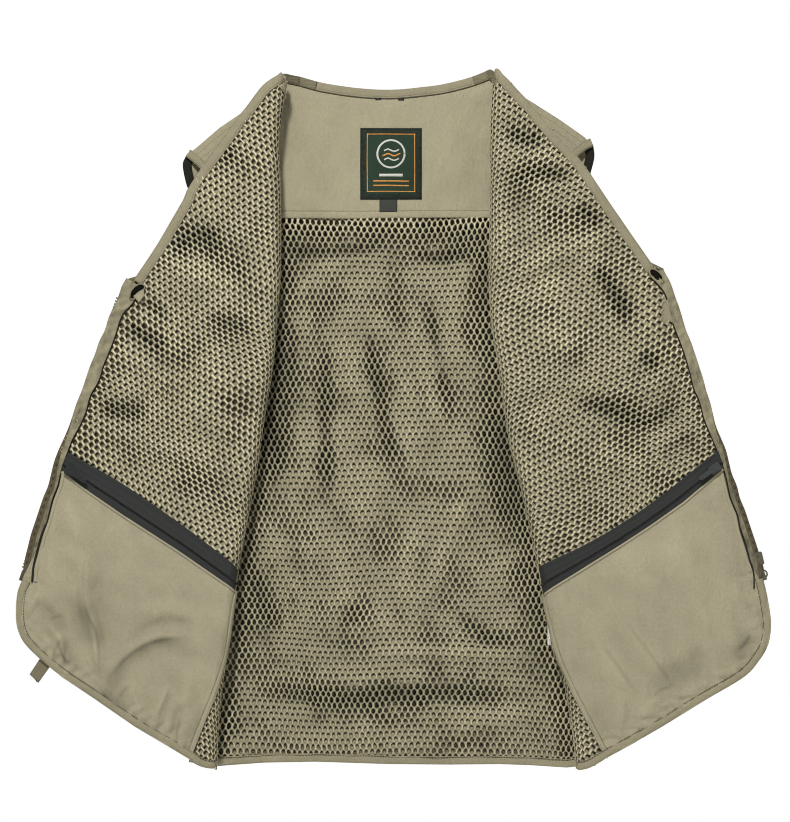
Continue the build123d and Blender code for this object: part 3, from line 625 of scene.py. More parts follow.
def front_surface(side, height):
    """Lining of a front: flat, then round the roll, then back behind itself."""
    def surface(x, y):
        x, y = np.asarray(x, float), np.asarray(y, float)
        crease = crease_x(side, y)
        past = x * side - crease - ROLL_ACROSS
        turn = np.clip(-past / ROLL_CLOTH, 0.0, math.pi)
        behind = np.maximum(-past - math.pi * ROLL_CLOTH, 0.0)
        rolled = crease + ROLL_ACROSS - ROLL_ACROSS * np.sin(turn) + behind
        z = height(side * np.maximum(x * side, crease + 1.0), y)
        z = z - ROLL_DEPTH * (1 - np.cos(turn))
        return side * np.where(past >= 0, x * side, rolled), y, z
    return surface


FRONT_GAP, front_lining = {}, {}
for side in (-1, 1):
    front_z, FRONT_GAP[side] = front_fields(side)
    front_lining[side] = front_surface(side, front_z)


def below_lining(side, extra=0.0):
    """The inner face of a front's shell, or a surface lower by extra."""
    return offset_surface(front_lining[side],
                          lambda x, y: -(LINING_THICK + FRONT_GAP[side](x, y) + extra))


# ---------------------------------------------------------------------------
# mesh building
# ---------------------------------------------------------------------------
def volume(vertices, faces):
    first = vertices[faces[:, 0]]
    total = 0.0
    for k in range(1, faces.shape[1] - 1):
        normal = np.cross(vertices[faces[:, k]], vertices[faces[:, k + 1]])
        total += np.einsum("ij,ij->i", first, normal).sum()
    return total / 6.0


def build(name, vertices, faces, material, tone=None):
    """Mesh object facing outwards; faces is a list of arrays of equal-sided faces."""
    centred = vertices - vertices.mean(0)
    if sum(volume(centred, part) for part in faces) < 0:
        faces = [part[:, ::-1] for part in faces]
    mesh = bpy.data.meshes.new(name)
    mesh.vertices.add(len(vertices))
    mesh.vertices.foreach_set("co", vertices.astype(np.float32).ravel())
    corners = np.concatenate([part.ravel() for part in faces]).astype(np.int32)
    mesh.loops.add(len(corners))
    mesh.loops.foreach_set("vertex_index", corners)
    sizes = np.concatenate([np.full(len(part), part.shape[1]) for part in faces])
    mesh.polygons.add(len(sizes))
    starts = np.concatenate([[0], np.cumsum(sizes)[:-1]]).astype(np.int32)
    mesh.polygons.foreach_set("loop_start", starts)
    mesh.update(calc_edges=True)
    mesh.validate()
    mesh.polygons.foreach_set("use_smooth", np.full(len(mesh.polygons), True))
    ob = bpy.data.objects.new(name, mesh)
    bpy.context.scene.collection.objects.link(ob)
    mesh.materials.append(material)
    if tone is not None:
        attribute = mesh.attributes.new("tone", "FLOAT", "POINT")
        attribute.data.foreach_set("value", np.asarray(tone, np.float32))
    mesh.update()
    return ob


def coons(top, bottom, left, right, columns, rows):
    """Grid of points inside four curves; top and bottom run from left to right."""
    top, bottom = resample(top, n=columns + 1), resample(bottom, n=columns + 1)
    left, right = resample(left, n=rows + 1), resample(right, n=rows + 1)
    x = np.linspace(0, 1, columns + 1)[None, :, None]
    y = np.linspace(0, 1, rows + 1)[:, None, None]
    return ((1 - y) * top[None] + y * bottom[None]
            + (1 - x) * left[:, None] + x * right[:, None]
            - ((1 - x) * (1 - y) * top[0] + x * (1 - y) * top[-1]
               + (1 - x) * y * bottom[0] + x * y * bottom[-1]))


def quad(corners, columns, rows):
    """Grid inside four corners given in turn round the shape."""
    first, second, third, fourth = corners
    return coons([first, second], [fourth, third], [first, fourth], [second, third],
                 columns, rows)


def grid_faces(rows, columns):
    i, j = np.meshgrid(np.arange(rows - 1), np.arange(columns - 1), indexing="ij")
    corner = (i * columns + j).ravel()
    return np.stack([corner, corner + 1, corner + columns + 1, corner + columns], -1)


def sheet(name, front, rear, material, tone=None):
    """Closed cloth between two world grids of the same size."""
    rows, columns = front.shape[:2]
    count = rows * columns
    index = np.arange(count).reshape(rows, columns)
    faces = grid_faces(rows, columns)
    rim = np.concatenate([index[0, :-1], index[:-1, -1], index[-1, :0:-1], index[:0:-1, 0]])
    after = np.roll(rim, -1)
    return build(name, np.vstack([front.reshape(-1, 3), rear.reshape(-1, 3)]),
                 [faces, faces[:, ::-1] + count,
                  np.stack([after, rim, rim + count, after + count], -1)],
                 material, tone)


def rim_mask(shape, edge):
    """1 everywhere but on the outermost points of a grid, which get edge."""
    mask = np.full(shape, edge, float)
    mask[1:-1, 1:-1] = 1.0
    return mask


def cloth(name, surface, grid, material, front, back, edge=0.4, tone=None, relief=None):
    """Closed cloth over a grid, from back to front along the normal, thin at its rim."""
    x, y = grid[..., 0], grid[..., 1]
    points, normals = surface_points(surface, x, y)
    scale = rim_mask(x.shape, edge)
    middle, half = (front + back) / 2, (front - back) / 2
    rear = middle - half * scale
    if relief is not None:
        rear = rear - relief(x, y) * (scale > 0.9)
    if tone is not None:
        tone = tone(x, y).ravel()
        tone = np.concatenate([tone, np.ones_like(tone)])
    return sheet(name, to_world(points + normals * (middle + half * scale)[..., None]),
                 to_world(points + normals * rear[..., None]), material, tone)


def patch(name, box, material, surface, front, back, n=24):
    """Rectangular cloth; box is left, right, top, bottom."""
    left, right, top, bottom = box
    grid = np.stack(np.meshgrid(np.linspace(left, right, n), np.linspace(top, bottom, n)),
                    -1)
    return cloth(name, surface, grid, material, front, back, edge=0.35)


def tube(name, grid, material, tone=None):
    """Rows of closed rings in world coordinates, capped at both ends."""
    rows, sides = grid.shape[:2]
    index = np.arange(rows * sides).reshape(rows, sides)
    after = np.roll(index, -1, 1)
    wall = np.stack([index[:-1], after[:-1], after[1:], index[1:]], -1).reshape(-1, 4)
    vertices = np.vstack([grid.reshape(-1, 3), grid[0].mean(0)[None],
                          grid[-1].mean(0)[None]])
    centre = np.full(sides, rows * sides)
    caps = [np.stack([centre, after[0], index[0]], -1),
            np.stack([centre + 1, index[-1], after[-1]], -1)]
    if tone is not None:
        x, y = vertices[:, 0] * 1000.0, 100.0 - vertices[:, 2] * 1000.0
        tone = np.clip(tone(x, y), 0.3, 1.3)
    return build(name, vertices, [wall, *caps], material, tone)


def ribbon(name, surface, path, width, material, front, back, seed, wave=0.25,
           groove=0.84):
    """Folded edge tape along a path; a positive width lies along path_normals."""
    line = resample(path, step=2.5)
    normals_flat = path_normals(line)
    wobble = Waves(seed, 10, 14, 60)(np.arange(len(line)) * 2.5, np.zeros(len(line)))
    # (part of the width, part of the front or back height)
    profile = [(1.0, 0.30), (0.975, 0.78), (0.93, 0.95), (groove + .02, 0.90),
               (groove, 0.70), (groove - .02, 0.92), (0.70, 1.05), (0.45, 1.12),
               (0.22, 1.0), (0.07, 0.70), (0.0, 0.0), (0.07, -0.70), (0.22, -1.0),
               (0.60, -1.1), (0.90, -1.0), (1.0, -0.55)]
    columns = []
    for across, part in profile:
        flat = line + normals_flat * across * width
        points, normals = surface_points(surface, flat[:, 0], flat[:, 1])
        if part == 0:
            height = np.full(len(line), (front - back) / 2)
        else:
            height = (front if part > 0 else back) * part
            height = height + wobble * wave * (0.4 + 0.6 * abs(part))
        columns.append(to_world(points + normals * height[:, None]))
    return tube(name, np.stack(columns, 1), material)


def strip(name, surface, line_a, line_b, material, profile, step=2.5, wave=None,
          tone=None):
    """Narrow cloth between two lines; profile is a closed list of (across, height)."""
    length = np.linalg.norm(np.diff(np.asarray(line_a), axis=0), axis=1).sum()
    n = max(4, int(length / step))
    line_a, line_b = resample(line_a, n=n), resample(line_b, n=n)
    columns = []
    for across, height in profile:
        x, y = (line_a + (line_b - line_a) * across).T
        points, normals = surface_points(surface, x, y)
        heights = np.full(n, float(height))
        if wave is not None:
            heights = heights + wave(x, y) * (0.3 + 0.7 * (height > 0))
        columns.append(to_world(points + normals * heights[:, None]))
    return tube(name, np.stack(columns, 1), material, tone)


def stitches(name, surface, path, material, pitch=2.9, length=2.1, radius=0.22, lift=0.9):
    """A row of thread stitches, standing lift over a surface."""
    sides = 5
    profile = [(-0.5, 0.0), (-0.42, 0.75), (-0.2, 1.0), (0.2, 1.0), (0.42, 0.75),
               (0.5, 0.0)]                             # (along, part of the radius)
    line = resample(path, step=pitch)
    tangent = np.gradient(line, axis=0)
    tangent /= np.linalg.norm(tangent, axis=1)[:, None]
    points, normals = surface_points(surface, line[:, 0], line[:, 1])
    ahead = line + tangent * 0.5
    along = surface_points(surface, ahead[:, 0], ahead[:, 1])[0] - points
    along /= np.linalg.norm(along, axis=1)[:, None] + 1e-9
    across = np.cross(normals, along)
    rings = []
    for place, part in profile:
        sag = -0.35 * (abs(place) * 2) ** 2
        centre = points + normals * (lift + sag * radius * 3) + along * (place * length)
        for i in range(sides):
            angle = 2 * math.pi * i / sides
            rings.append(centre + (across * math.cos(angle) + normals * math.sin(angle))
                         * max(part, 0.15) * radius)
    vertices = to_world(np.stack(rings, 1))
    size = vertices.shape[1]
    wall = np.array([(k * sides + i, k * sides + (i + 1) % sides,
                      (k + 1) * sides + (i + 1) % sides, (k + 1) * sides + i)
                     for k in range(len(profile) - 1) for i in range(sides)])
    caps = np.array([range(sides)[::-1], range(size - sides, size)])
    first = (np.arange(len(line)) * size)[:, None, None]
    return build(name, vertices.reshape(-1, 3),
                 [(wall[None] + first).reshape(-1, 4), (caps[None] + first).reshape(-1, sides)],
                 material)


def cell_ring(half_width, flank, tip, shoulder_x, shoulder_y):
    """Ten points round a net cell, starting at its upper tip."""
    return np.array([(0, -tip), (shoulder_x, -shoulder_y), (half_width, -flank),
                     (half_width, flank), (shoulder_x, shoulder_y), (0, tip),
                     (-shoulder_x, shoulder_y), (-half_width, flank),
                     (-half_width, -flank), (-shoulder_x, -shoulder_y)])


def hex_net(name, surface, inside, tone, *, pitch, row, flank, strand, neck, lean, knot_highlight,
            turn, origin, span, warp):
    """Open hexagonal knit: one closed solid with a hole in every cell.

    pitch and row space the cells, flank is half a cell's upright side, strand and neck
    set the yarn between holes, lean tilts the upper hole walls, knot_highlight is the
    strength of the painted highlight on the knots, turn the angle and span the half count of
    cells."""
    front_rise, rear_drop = 0.72, 0.25
    i, j = np.meshgrid(np.arange(-span, span + 1), np.arange(-span, span + 1))
    i, j = i.ravel(), j.ravel()
    centre_x = i * pitch + np.where(j % 2 == 0, 0.0, pitch / 2)
    centre_y = j * row

    def flat(net_x, net_y):
        x = origin[0] + net_x * math.cos(turn) - net_y * math.sin(turn)
        y = origin[1] + net_x * math.sin(turn) + net_y * math.cos(turn)
        warp_x, warp_y = warp(x, y)
        return (x + warp_x + 0.30 * net_jitter[0](x, y),
                y + warp_y + 0.30 * net_jitter[1](x, y))

    keep = inside(*flat(centre_x, centre_y))
    centre_x, centre_y = centre_x[keep], centre_y[keep]
    cells = len(centre_x)
    tip = row - flank
    ring = cell_ring(pitch / 2, flank, tip, pitch / 4, (flank + tip) / 2)
    hole_x, hole_y = pitch / 2 - strand, tip - strand * neck
    hole = cell_ring(hole_x, flank * .78, hole_y, hole_x * .58, hole_y * .74)
    sides = len(ring)

    # neighbouring cells share the points of their rings
    ring_x = (centre_x[:, None] + ring[None, :, 0]).ravel()
    ring_y = (centre_y[:, None] + ring[None, :, 1]).ravel()
    key = (np.round(ring_x * 50).astype(np.int64) * 4000003
           + np.round(ring_y * 50).astype(np.int64))
    _, first, shared = np.unique(key, return_index=True, return_inverse=True)
    yarn = flat(ring_x[first], ring_y[first])
    yarn_points, yarn_normals = surface_points(surface, *yarn)
    hole_x = (centre_x[:, None] + hole[None, :, 0]).ravel()
    hole_y = (centre_y[:, None] + hole[None, :, 1]).ravel()
    mouth = flat(hole_x, hole_y)
    mouth_points, mouth_normals = surface_points(surface, *mouth)
    # the wall of each hole leans in on its upper side, where it lies in shade
    shift = lean * np.array([1.0, .85, .3, 0, 0, 0, 0, 0, .3, .85])
    deep_points, deep_normals = surface_points(
        surface, *flat(hole_x, hole_y + np.tile(shift, cells)))
    knots = np.tile(np.array([1, 0, 1, 1, 0, 1, 0, 1, 1, 0], float), cells)[first]
    rise = (front_rise + 0.28 * (knots - 0.5))[:, None]
    vertices = np.vstack([to_world(yarn_points + yarn_normals * rise),
                          to_world(yarn_points - yarn_normals * rear_drop),
                          to_world(mouth_points + mouth_normals * (front_rise * 0.55)),
                          to_world(deep_points - deep_normals * rear_drop * 0.6)])

    count = len(first)
    outer = shared.reshape(cells, sides)
    inner = np.arange(cells * sides).reshape(cells, sides) + 2 * count
    outer_next, inner_next = np.roll(outer, -1, 1), np.roll(inner, -1, 1)
    deep = cells * sides
    faces = [np.stack(loop, -1).reshape(-1, 4) for loop in (
        (outer, outer_next, inner_next, inner),
        (inner, inner_next, inner_next + deep, inner + deep),
        (inner + deep, inner_next + deep, outer_next + count, outer + count))]
    # ring edges that belong to one cell only form the outer rim
    start, end = outer.ravel(), outer_next.ravel()
    code = (np.minimum(start, end).astype(np.int64) * (count + 1)
            + np.maximum(start, end))
    _, edge, uses = np.unique(code, return_index=True, return_counts=True)
    start, end = start[edge[uses == 1]], end[edge[uses == 1]]
    faces.append(np.stack([end, start, start + count, end + count], -1))

    # painted highlight on the knots, and painted shade on the rear of the yarn and on the upper
    # rim and wall of each hole
    yarn_tone, mouth_tone = tone(*yarn), tone(*mouth)
    mouth_shade = np.array([.13, .20, .82, .95, 1.0, 1.0, 1.0, .95, .82, .20])
    deep_shade = np.array([.01, .01, .25, .8, .95, 1.0, .95, .8, .25, .01])
    tones = [yarn_tone * (1.0 - 0.4 * knot_highlight + knot_highlight * knots), yarn_tone * 0.4,
             mouth_tone * np.tile(mouth_shade, cells),
             mouth_tone * np.tile(deep_shade, cells)]
    return build(name, vertices, faces, YARN, np.concatenate(tones))


# ---------------------------------------------------------------------------
# materials
# ---------------------------------------------------------------------------
def linear(rgb):
    """Linear colour from sRGB values of 0..255."""
    return tuple(c / 255 / 12.92 if c / 255 <= 0.04045
                 else ((c / 255 + 0.055) / 1.055) ** 2.4 for c in rgb) + (1.0,)


def scaled(color, factor):
    return tuple(min(1, c * factor) for c in color[:3]) + (1,)


def shader_node(tree, kind, links=None, **values):
    """Node with input values by name (_ for a space) and links by input."""
    node = tree.nodes.new(kind)
    for key, value in values.items():
        node.inputs[key.replace("_", " ")].default_value = value
    for key, socket in (links or {}).items():
        tree.links.new(socket, node.inputs[key])
    return node


def math_node(tree, operation, first, second):
    """Result of two sockets, or of a socket and a number."""
    node = shader_node(tree, "ShaderNodeMath", {0: first})
    node.operation = operation
    if isinstance(second, float):
        node.inputs[1].default_value = second
    else:
        tree.links.new(second, node.inputs[1])
    return node.outputs[0]


def ramp_node(tree, factor, low, high, start=0.0, end=1.0):
    node = shader_node(tree, "ShaderNodeValToRGB", {"Fac": factor})
    for element, position, color in zip(node.color_ramp.elements, (start, end), (low, high)):
        element.position = position
        element.color = color
    return node.outputs["Color"]


def weave_nodes(tree, coords, pitch):
    """Crossing bands of thread."""
    bands = []
    for axis in ("X", "Z"):
        node = shader_node(tree, "ShaderNodeTexWave", {"Vector": coords},
                           Scale=0.3142 / pitch, Distortion=0.6, Detail=1.0,
                           Detail_Scale=1.5)
        node.wave_type = "BANDS"
        node.bands_direction = axis
        bands.append(node.outputs["Fac"])
    return math_node(tree, "MULTIPLY", *bands)


def material(name, rgb, rough=0.85, weave=0.0006, weave_bump=0.25, mottle=0.06,
             sheen=0.25, spec=0.25, fine=0.35, metallic=0.0, streak=0.0, bump=0.00035,
             tone=False, crumple=0.0):
    """Procedural cloth, thread or metal.

    weave is the thread spacing in metres and weave_bump its depth; mottle is the colour
    variation, fine its share of small grain and streak its share of level streaks; bump
    is the depth of the grain in metres, crumple the strength of the creases; tone
    multiplies the colour by the mesh attribute of that name."""
    # the tone attribute carries random tone and also painted light and shade, set where each
    # mesh is built
    color = linear(rgb)
    mat = bpy.data.materials.new(name)
    mat.use_nodes = True
    tree = mat.node_tree
    shader = tree.nodes["Principled BSDF"]
    texture = tree.nodes.new("ShaderNodeTexCoord").outputs["Object"]
    coords = shader_node(tree, "ShaderNodeMapping", {"Vector": texture}).outputs["Vector"]

    def noise(vector, **values):
        return shader_node(tree, "ShaderNodeTexNoise", {"Vector": vector},
                           **values).outputs["Fac"]

    def blend(first, second, share):
        return math_node(tree, "ADD", math_node(tree, "MULTIPLY", first, 1.0 - share),
                         math_node(tree, "MULTIPLY", second, share))

    big = noise(coords, Scale=16.0, Detail=4.0, Roughness=0.55)
    small = noise(coords, Scale=420.0, Detail=2.0, Roughness=0.7)
    variation = blend(big, small, fine)
    if streak:
        stretched = shader_node(tree, "ShaderNodeMapping", {"Vector": coords},
                                Scale=(60.0, 60.0, 900.0)).outputs["Vector"]
        variation = blend(variation, noise(stretched, Scale=1.0, Detail=3.0), streak)
    colour = ramp_node(tree, variation, scaled(color, 1 - mottle * 2.2),
                       scaled(color, 1 + mottle * 2.2), start=0.32, end=0.68)
    height = math_node(tree, "MULTIPLY", small, 0.35)
    if weave:
        threads = weave_nodes(tree, coords, weave)
        height = math_node(tree, "ADD", math_node(tree, "MULTIPLY", threads, weave_bump),
                           height)
        # painted shade: the gaps between the threads read slightly darker than the threads
        shade = ramp_node(tree, threads, (0.82, 0.82, 0.82, 1), (1.06, 1.06, 1.06, 1))
        mix = tree.nodes.new("ShaderNodeMix")
        mix.data_type = "RGBA"
        mix.blend_type = "MULTIPLY"
        mix.inputs["Factor"].default_value = 1.0
        tree.links.new(colour, mix.inputs["A"])
        tree.links.new(shade, mix.inputs["B"])
        colour = mix.outputs["Result"]
    if tone:
        attribute = tree.nodes.new("ShaderNodeAttribute")
        attribute.attribute_name = "tone"
        scale = tree.nodes.new("ShaderNodeVectorMath")
        scale.operation = "SCALE"
        tree.links.new(colour, scale.inputs[0])
        tree.links.new(attribute.outputs["Fac"], scale.inputs["Scale"])
        colour = scale.outputs["Vector"]
    grain = shader_node(tree, "ShaderNodeBump", {"Height": height}, Strength=0.6,
                        Distance=bump)
    if crumple:
        turned = shader_node(tree, "ShaderNodeMapping", {"Vector": texture},
                             Rotation=(0.0, 0.5, 0.0), Scale=(1.0, 1.0, 0.45))
        creases = noise(turned.outputs["Vector"], Scale=74.0, Detail=5.0, Roughness=0.62)
        coarse = shader_node(tree, "ShaderNodeBump", {"Height": creases},
                             Strength=crumple, Distance=0.0040)
        tree.links.new(coarse.outputs["Normal"], grain.inputs["Normal"])
    tree.links.new(grain.outputs["Normal"], shader.inputs["Normal"])
    tree.links.new(colour, shader.inputs["Base Color"])
    roughness = shader_node(tree, "ShaderNodeMapRange", {"Value": big},
                            To_Min=rough - 0.08, To_Max=min(1.0, rough + 0.08))
    tree.links.new(roughness.outputs["Result"], shader.inputs["Roughness"])
    shader.inputs["Metallic"].default_value = metallic
    shader.inputs["Specular IOR Level"].default_value = spec
    if sheen:
        shader.inputs["Sheen Weight"].default_value = sheen
        shader.inputs["Sheen Roughness"].default_value = 0.45
        shader.inputs["Sheen Tint"].default_value = scaled(color, 1.6)
    return mat


KHAKI = (163, 156, 129)
POCKET_KHAKI = (164, 157, 131)
FACING_KHAKI = (150, 143, 117)
POPLIN_LOOK = dict(rough=0.86, weave=0.0007, fine=0.5, sheen=0.2, spec=0.2, crumple=0.8)
POCKET_LOOK = dict(rough=0.84, weave=0.00075, sheen=0.22, spec=0.22)
FACING_LOOK = dict(rough=0.86, weave=0.0007, sheen=0.15, spec=0.2)
FOLD_LOOK = dict(rough=0.85, sheen=0.1, spec=0.2)
METAL_LOOK = dict(weave=0.0, sheen=0.0, spec=1.0, fine=0.5, bump=0.0001)

POPLIN = material("khaki_poplin", KHAKI, mottle=0.055, **POPLIN_LOOK)
YOKE_POPLIN = material("khaki_yoke", (165, 158, 131), mottle=0.05, **POPLIN_LOOK)
POCKET_CLOTH = material("khaki_pocket_cloth", POCKET_KHAKI, mottle=0.04, streak=0.15,
                        **POCKET_LOOK)
POCKET_PANEL = material("khaki_pocket_panel", POCKET_KHAKI, mottle=0.06, fine=0.5,
                        streak=0.12, tone=True, crumple=0.75, **POCKET_LOOK)
# cloth under the open linings: its tone attribute carries painted shade
LINED_POPLIN = material("khaki_poplin_lined", KHAKI, rough=0.88, weave=0.0007,
                        mottle=0.035, sheen=0.0, spec=0.05, tone=True)
YARN = material("mesh_yarn", (157, 150, 123), rough=0.55, weave=0.0, mottle=0.06,
                sheen=0.0, spec=0.12, fine=0.6, bump=0.00025, tone=True)
BINDING = material("binding_tape", (152, 145, 119), rough=0.82, sheen=0.2, spec=0.2,
                   streak=0.3, crumple=0.8)
THREAD = material("khaki_thread", (112, 105, 82), rough=0.6, weave=0.0, mottle=0.1,
                  sheen=0.1, spec=0.4, fine=0.8)
# dark thread: its stitch lines are darkened to paint the shadow along the seams, and it also
# colours thin strips of painted shadow
SEAM_THREAD_SHADOW = material("seam_thread_shadow", (66, 61, 44), rough=0.7, weave=0.0, mottle=0.1,
                       sheen=0.05, spec=0.3, fine=0.8)
FACING = material("facing_cloth", FACING_KHAKI, mottle=0.045, fine=0.5, tone=True,
                  crumple=1.0, **FACING_LOOK)
FACING_RIM = material("facing_rim", FACING_KHAKI, mottle=0.08, **FACING_LOOK)
BLACK_TAPE = material("black_zip_tape", (40, 42, 40), rough=0.7, weave=0.0005,
                      mottle=0.08, sheen=0.15, spec=0.35)
COIL = material("black_coil", (24, 25, 25), rough=0.38, weave=0.0, mottle=0.08,
                sheen=0.0, spec=0.5, fine=0.7)
KHAKI_TAPE = material("khaki_zip_tape", (92, 84, 62), rough=0.8, mottle=0.08,
                      sheen=0.15)
GUNMETAL = material("gunmetal", (74, 77, 78), rough=0.3, mottle=0.14, metallic=0.35,
                    **METAL_LOOK)
ENAMEL = material("black_enamel", (44, 46, 47), rough=0.26, mottle=0.16, metallic=0.3,
                  **METAL_LOOK)
BRONZE = material("aged_bronze", (84, 77, 58), rough=0.32, mottle=0.16, metallic=0.4,
                  **METAL_LOOK)
LABEL_BORDER = material("label_border", (29, 39, 31), rough=0.8, weave=0.0009,
                        weave_bump=0.9, mottle=0.35, sheen=0.15, spec=0.3, fine=0.7)
LABEL_GREEN = material("label_green", (38, 58, 43), rough=0.8, weave=0.0005,
                       weave_bump=0.5, mottle=0.1, sheen=0.2)
LABEL_GOLD = material("label_gold", (205, 140, 66), rough=0.6, weave=0.0, mottle=0.12,
                      sheen=0.15, spec=0.4, fine=0.8)
LABEL_WHITE = material("label_white", (214, 214, 203), rough=0.7, weave=0.0005,
                       weave_bump=0.5, mottle=0.05, sheen=0.2, spec=0.3)
SATIN = material("white_satin", (236, 236, 230), rough=0.6, weave=0.0005, mottle=0.02,
                 sheen=0.2, spec=0.3)
TAB_GREY = material("tab_grey", (58, 60, 54), rough=0.7, weave=0.0005, mottle=0.08,
                    sheen=0.15, spec=0.3)
# near black: painted shade inside the open end of the facing and along the hem loop's edge
HOLLOW_SHADE = material("hollow_shade", (24, 22, 17), rough=0.95, weave=0.0008, mottle=0.2,
                  sheen=0.0, spec=0.05)
BACKING = material("facing_backing", (120, 113, 92), rough=0.9, weave=0.0007,
                   mottle=0.1, sheen=0.1, spec=0.15)
# darker copies of the binding tape: painted shade for its folded-in ends at the neck corners
BINDING_FOLD_SHADE = material("binding_fold_shade", (103, 97, 76), mottle=0.3, streak=0.4,
                        **FOLD_LOOK)
BINDING_TAPE_HALF_SHADE = material("binding_tape_half_shade", (124, 117, 94), mottle=0.2,
                              streak=0.5, crumple=1.0, **FOLD_LOOK)
# near black: painted shade inside the armholes and in the gap beside the zip facing
SHADE_CLOTH = material("painted_shade_cloth", (40, 38, 32), rough=0.9, weave=0.0008,
                      mottle=0.12, sheen=0.05, spec=0.15)


# ---------------------------------------------------------------------------
# how a piece follows the body and a front
# ---------------------------------------------------------------------------
def blend_to_front(ob):
    """Bakes the piece's place in the world into its mesh."""
    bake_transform(ob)


def add(ob, node=None, side=None, carrier="vest_body"):
    """Hands a piece over: with a side its place is baked into its mesh, otherwise it rides on
    its carrier.
    """
    if side is not None:
        blend_to_front(ob)
    else:
        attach(ob, carrier)
    if node:
        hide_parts(node)


# ---------------------------------------------------------------------------
# back
# ---------------------------------------------------------------------------
BACK_NET_TOP, BACK_NET_SPLIT, BACK_NET_LOW = 211.0, 486.0, 763.0
back_warp = (Waves(41, 14, 120, 320), Waves(42, 14, 120, 320))


def gap_shade(gap):
    """Painted shade on the cloth under the open lining, darker as the gap between them grows.
    """
    return 0.06 + 0.94 * np.exp(-np.maximum(gap - 1.0, 0) / 1.6)


def make_back_shell():
    outer = {side: spline(SHOULDER[side][-1:] + ARM_BACK[side][1:] + SIDE_SEAM[side][1:], 3)
             for side in (-1, 1)}
    top = SHOULDER[-1][::-1] + NECK[1:-1] + SHOULDER[1]
    bottom = SIDE_SEAM[-1][-1:] + HEM_BACK[2:-2] + SIDE_SEAM[1][-1:]
    grid = coons(spline(top, 3), resample(bottom, step=3), outer[-1], outer[1], 150, 200)
    # below the yoke the inner face is darkened by gap_shade: painted shade where the lining
    # stands off it
    add(cloth("back_shell_cloth", back_shell, grid, LINED_POPLIN, front=0.0,
              back=-SHELL_THICK, relief=rear_relief,
              tone=lambda x, y: lerp(1.0, gap_shade(BACK_GAP(x, y)),
                                     smooth((y - 205) / 10.0))),
        node="back_shell")


def make_yoke():
    """Plain lining of the yoke with its turned lower edge."""
    top = resample([(-132, 96), (-112, 76)] + NECK[1:-1] + [(104, 71), (122, 92)], step=3)
    grid = coons(top, spline(YOKE_LOW, 3), [(-132, 96), (-130, 216.3)],
                 [(122, 92), (120, 216)], 110, 60)
    add(cloth("yoke_lining_cloth", yoke, grid, YOKE_POPLIN, front=0.7, back=0.0,
              edge=0.5), node="back_yoke_lining")
    add(stitches("yoke_stitching", yoke, offset_line(YOKE_LOW, -7.6), THREAD, lift=0.8))
    add(ribbon("yoke_lower_fold", yoke, YOKE_LOW, -7.2, YOKE_POPLIN, front=1.05,
               back=0.2, seed=5, wave=0.12, groove=0.97))


def make_back_net(part, top, bottom, node):
    """Half of the open hexagonal lining of the back."""
    hem_x, hem_y = zip(*HEM_BACK)

    def inside(x, y):
        ok = (y > top) & (y < bottom)
        for side in (-1, 1):
            ok &= x * side < crease_x(side, y) + 17.0
        return ok & (y < np.interp(x, hem_x, hem_y) - 6.5)

    def tone(x, y):
        # random tone, with painted highlight on the band below the yoke and where folds press
        # the lining to the shell, and painted shade where folds hold it apart
        value = 0.93 + 0.07 * tone_noise(x, y) + 0.28 * bell(y - 222, 8.0)
        value = value + 0.16 * folds(x, y, BACK_CLOSE) - 0.28 * folds(x, y, BACK_APART)
        return np.clip(value, 0.45, 1.28)

    add(hex_net("back_mesh_" + part, back_lining, inside, tone, pitch=6.0, row=5.88,
                flank=1.3, strand=1.08, neck=1.35, lean=1.5, knot_highlight=0.78, turn=0.0,
                origin=(-1.5, 420.0), span=75,
                warp=lambda x, y: (2.6 * back_warp[0](x, y), 2.2 * back_warp[1](x, y))),
        node)


def make_neck_binding():
    """Tape turned over the neck edge, its seam with a strip of painted shadow, two bar tacks
    and folded-in ends in painted shade.
    """
    path = spline([(-124, 86), (-118, 80), (-112.5, 75), (-108, 73)] + NECK[1:-1]
                  + [(99.5, 68.8), (105.5, 73.5), (112, 80)], 2.5)
    path = path - np.array([0.0, 2.3])                 # stands above the raw edge
    add(ribbon("neck_binding_cloth", yoke, path, 9.0, BINDING, front=1.5, back=2.6,
               seed=3), "neck_binding")
    add(stitches("neck_binding_stitches", yoke, offset_line(path, 9.3)[2:-2], SEAM_THREAD_SHADOW,
                 lift=1.0, length=2.8, radius=0.42))
    # painted shadow: a thin dark strip along the seam at the tape's inner edge
    add(ribbon("neck_binding_seam_shadow", yoke, offset_line(path, 8.9), 1.2, SEAM_THREAD_SHADOW,
               front=1.0, back=0.3, seed=98, wave=0.05, groove=0.97))
    for k, (x, y) in enumerate(((-14.0, 95.6), (9.0, 96.2))):
        tack = resample([(x - 2.8, y + 0.1), (x + 2.8, y - 0.1)], step=0.8)
        add(ribbon("neck_bartack_%d" % (k + 1), yoke, tack, 1.9, COIL, front=1.9,
                   back=0.4, seed=60 + k, wave=0.15, groove=0.97))
    # the folded-in ends are coloured in painted shade
    for side, spans in ((-1, ((-124.0, -91.0), (-98.0, -74.0))),
                        (1, ((90.0, 112.0), (80.0, 96.0)))):
        for k, (left, right) in enumerate(spans):
            part = path[(path[:, 0] > left) & (path[:, 0] < right)]
            add(ribbon("neck_corner_fold_%s_%d" % (SIDE_NAMES[side], k + 1), yoke,
                       resample(part, step=1.5), 9.4 - 0.2 * k,
                       (BINDING_FOLD_SHADE, BINDING_TAPE_HALF_SHADE)[k], front=1.95 - 0.15 * k,
                       back=2.75, seed=97 + side + 3 * k, wave=0.35, groove=0.97))


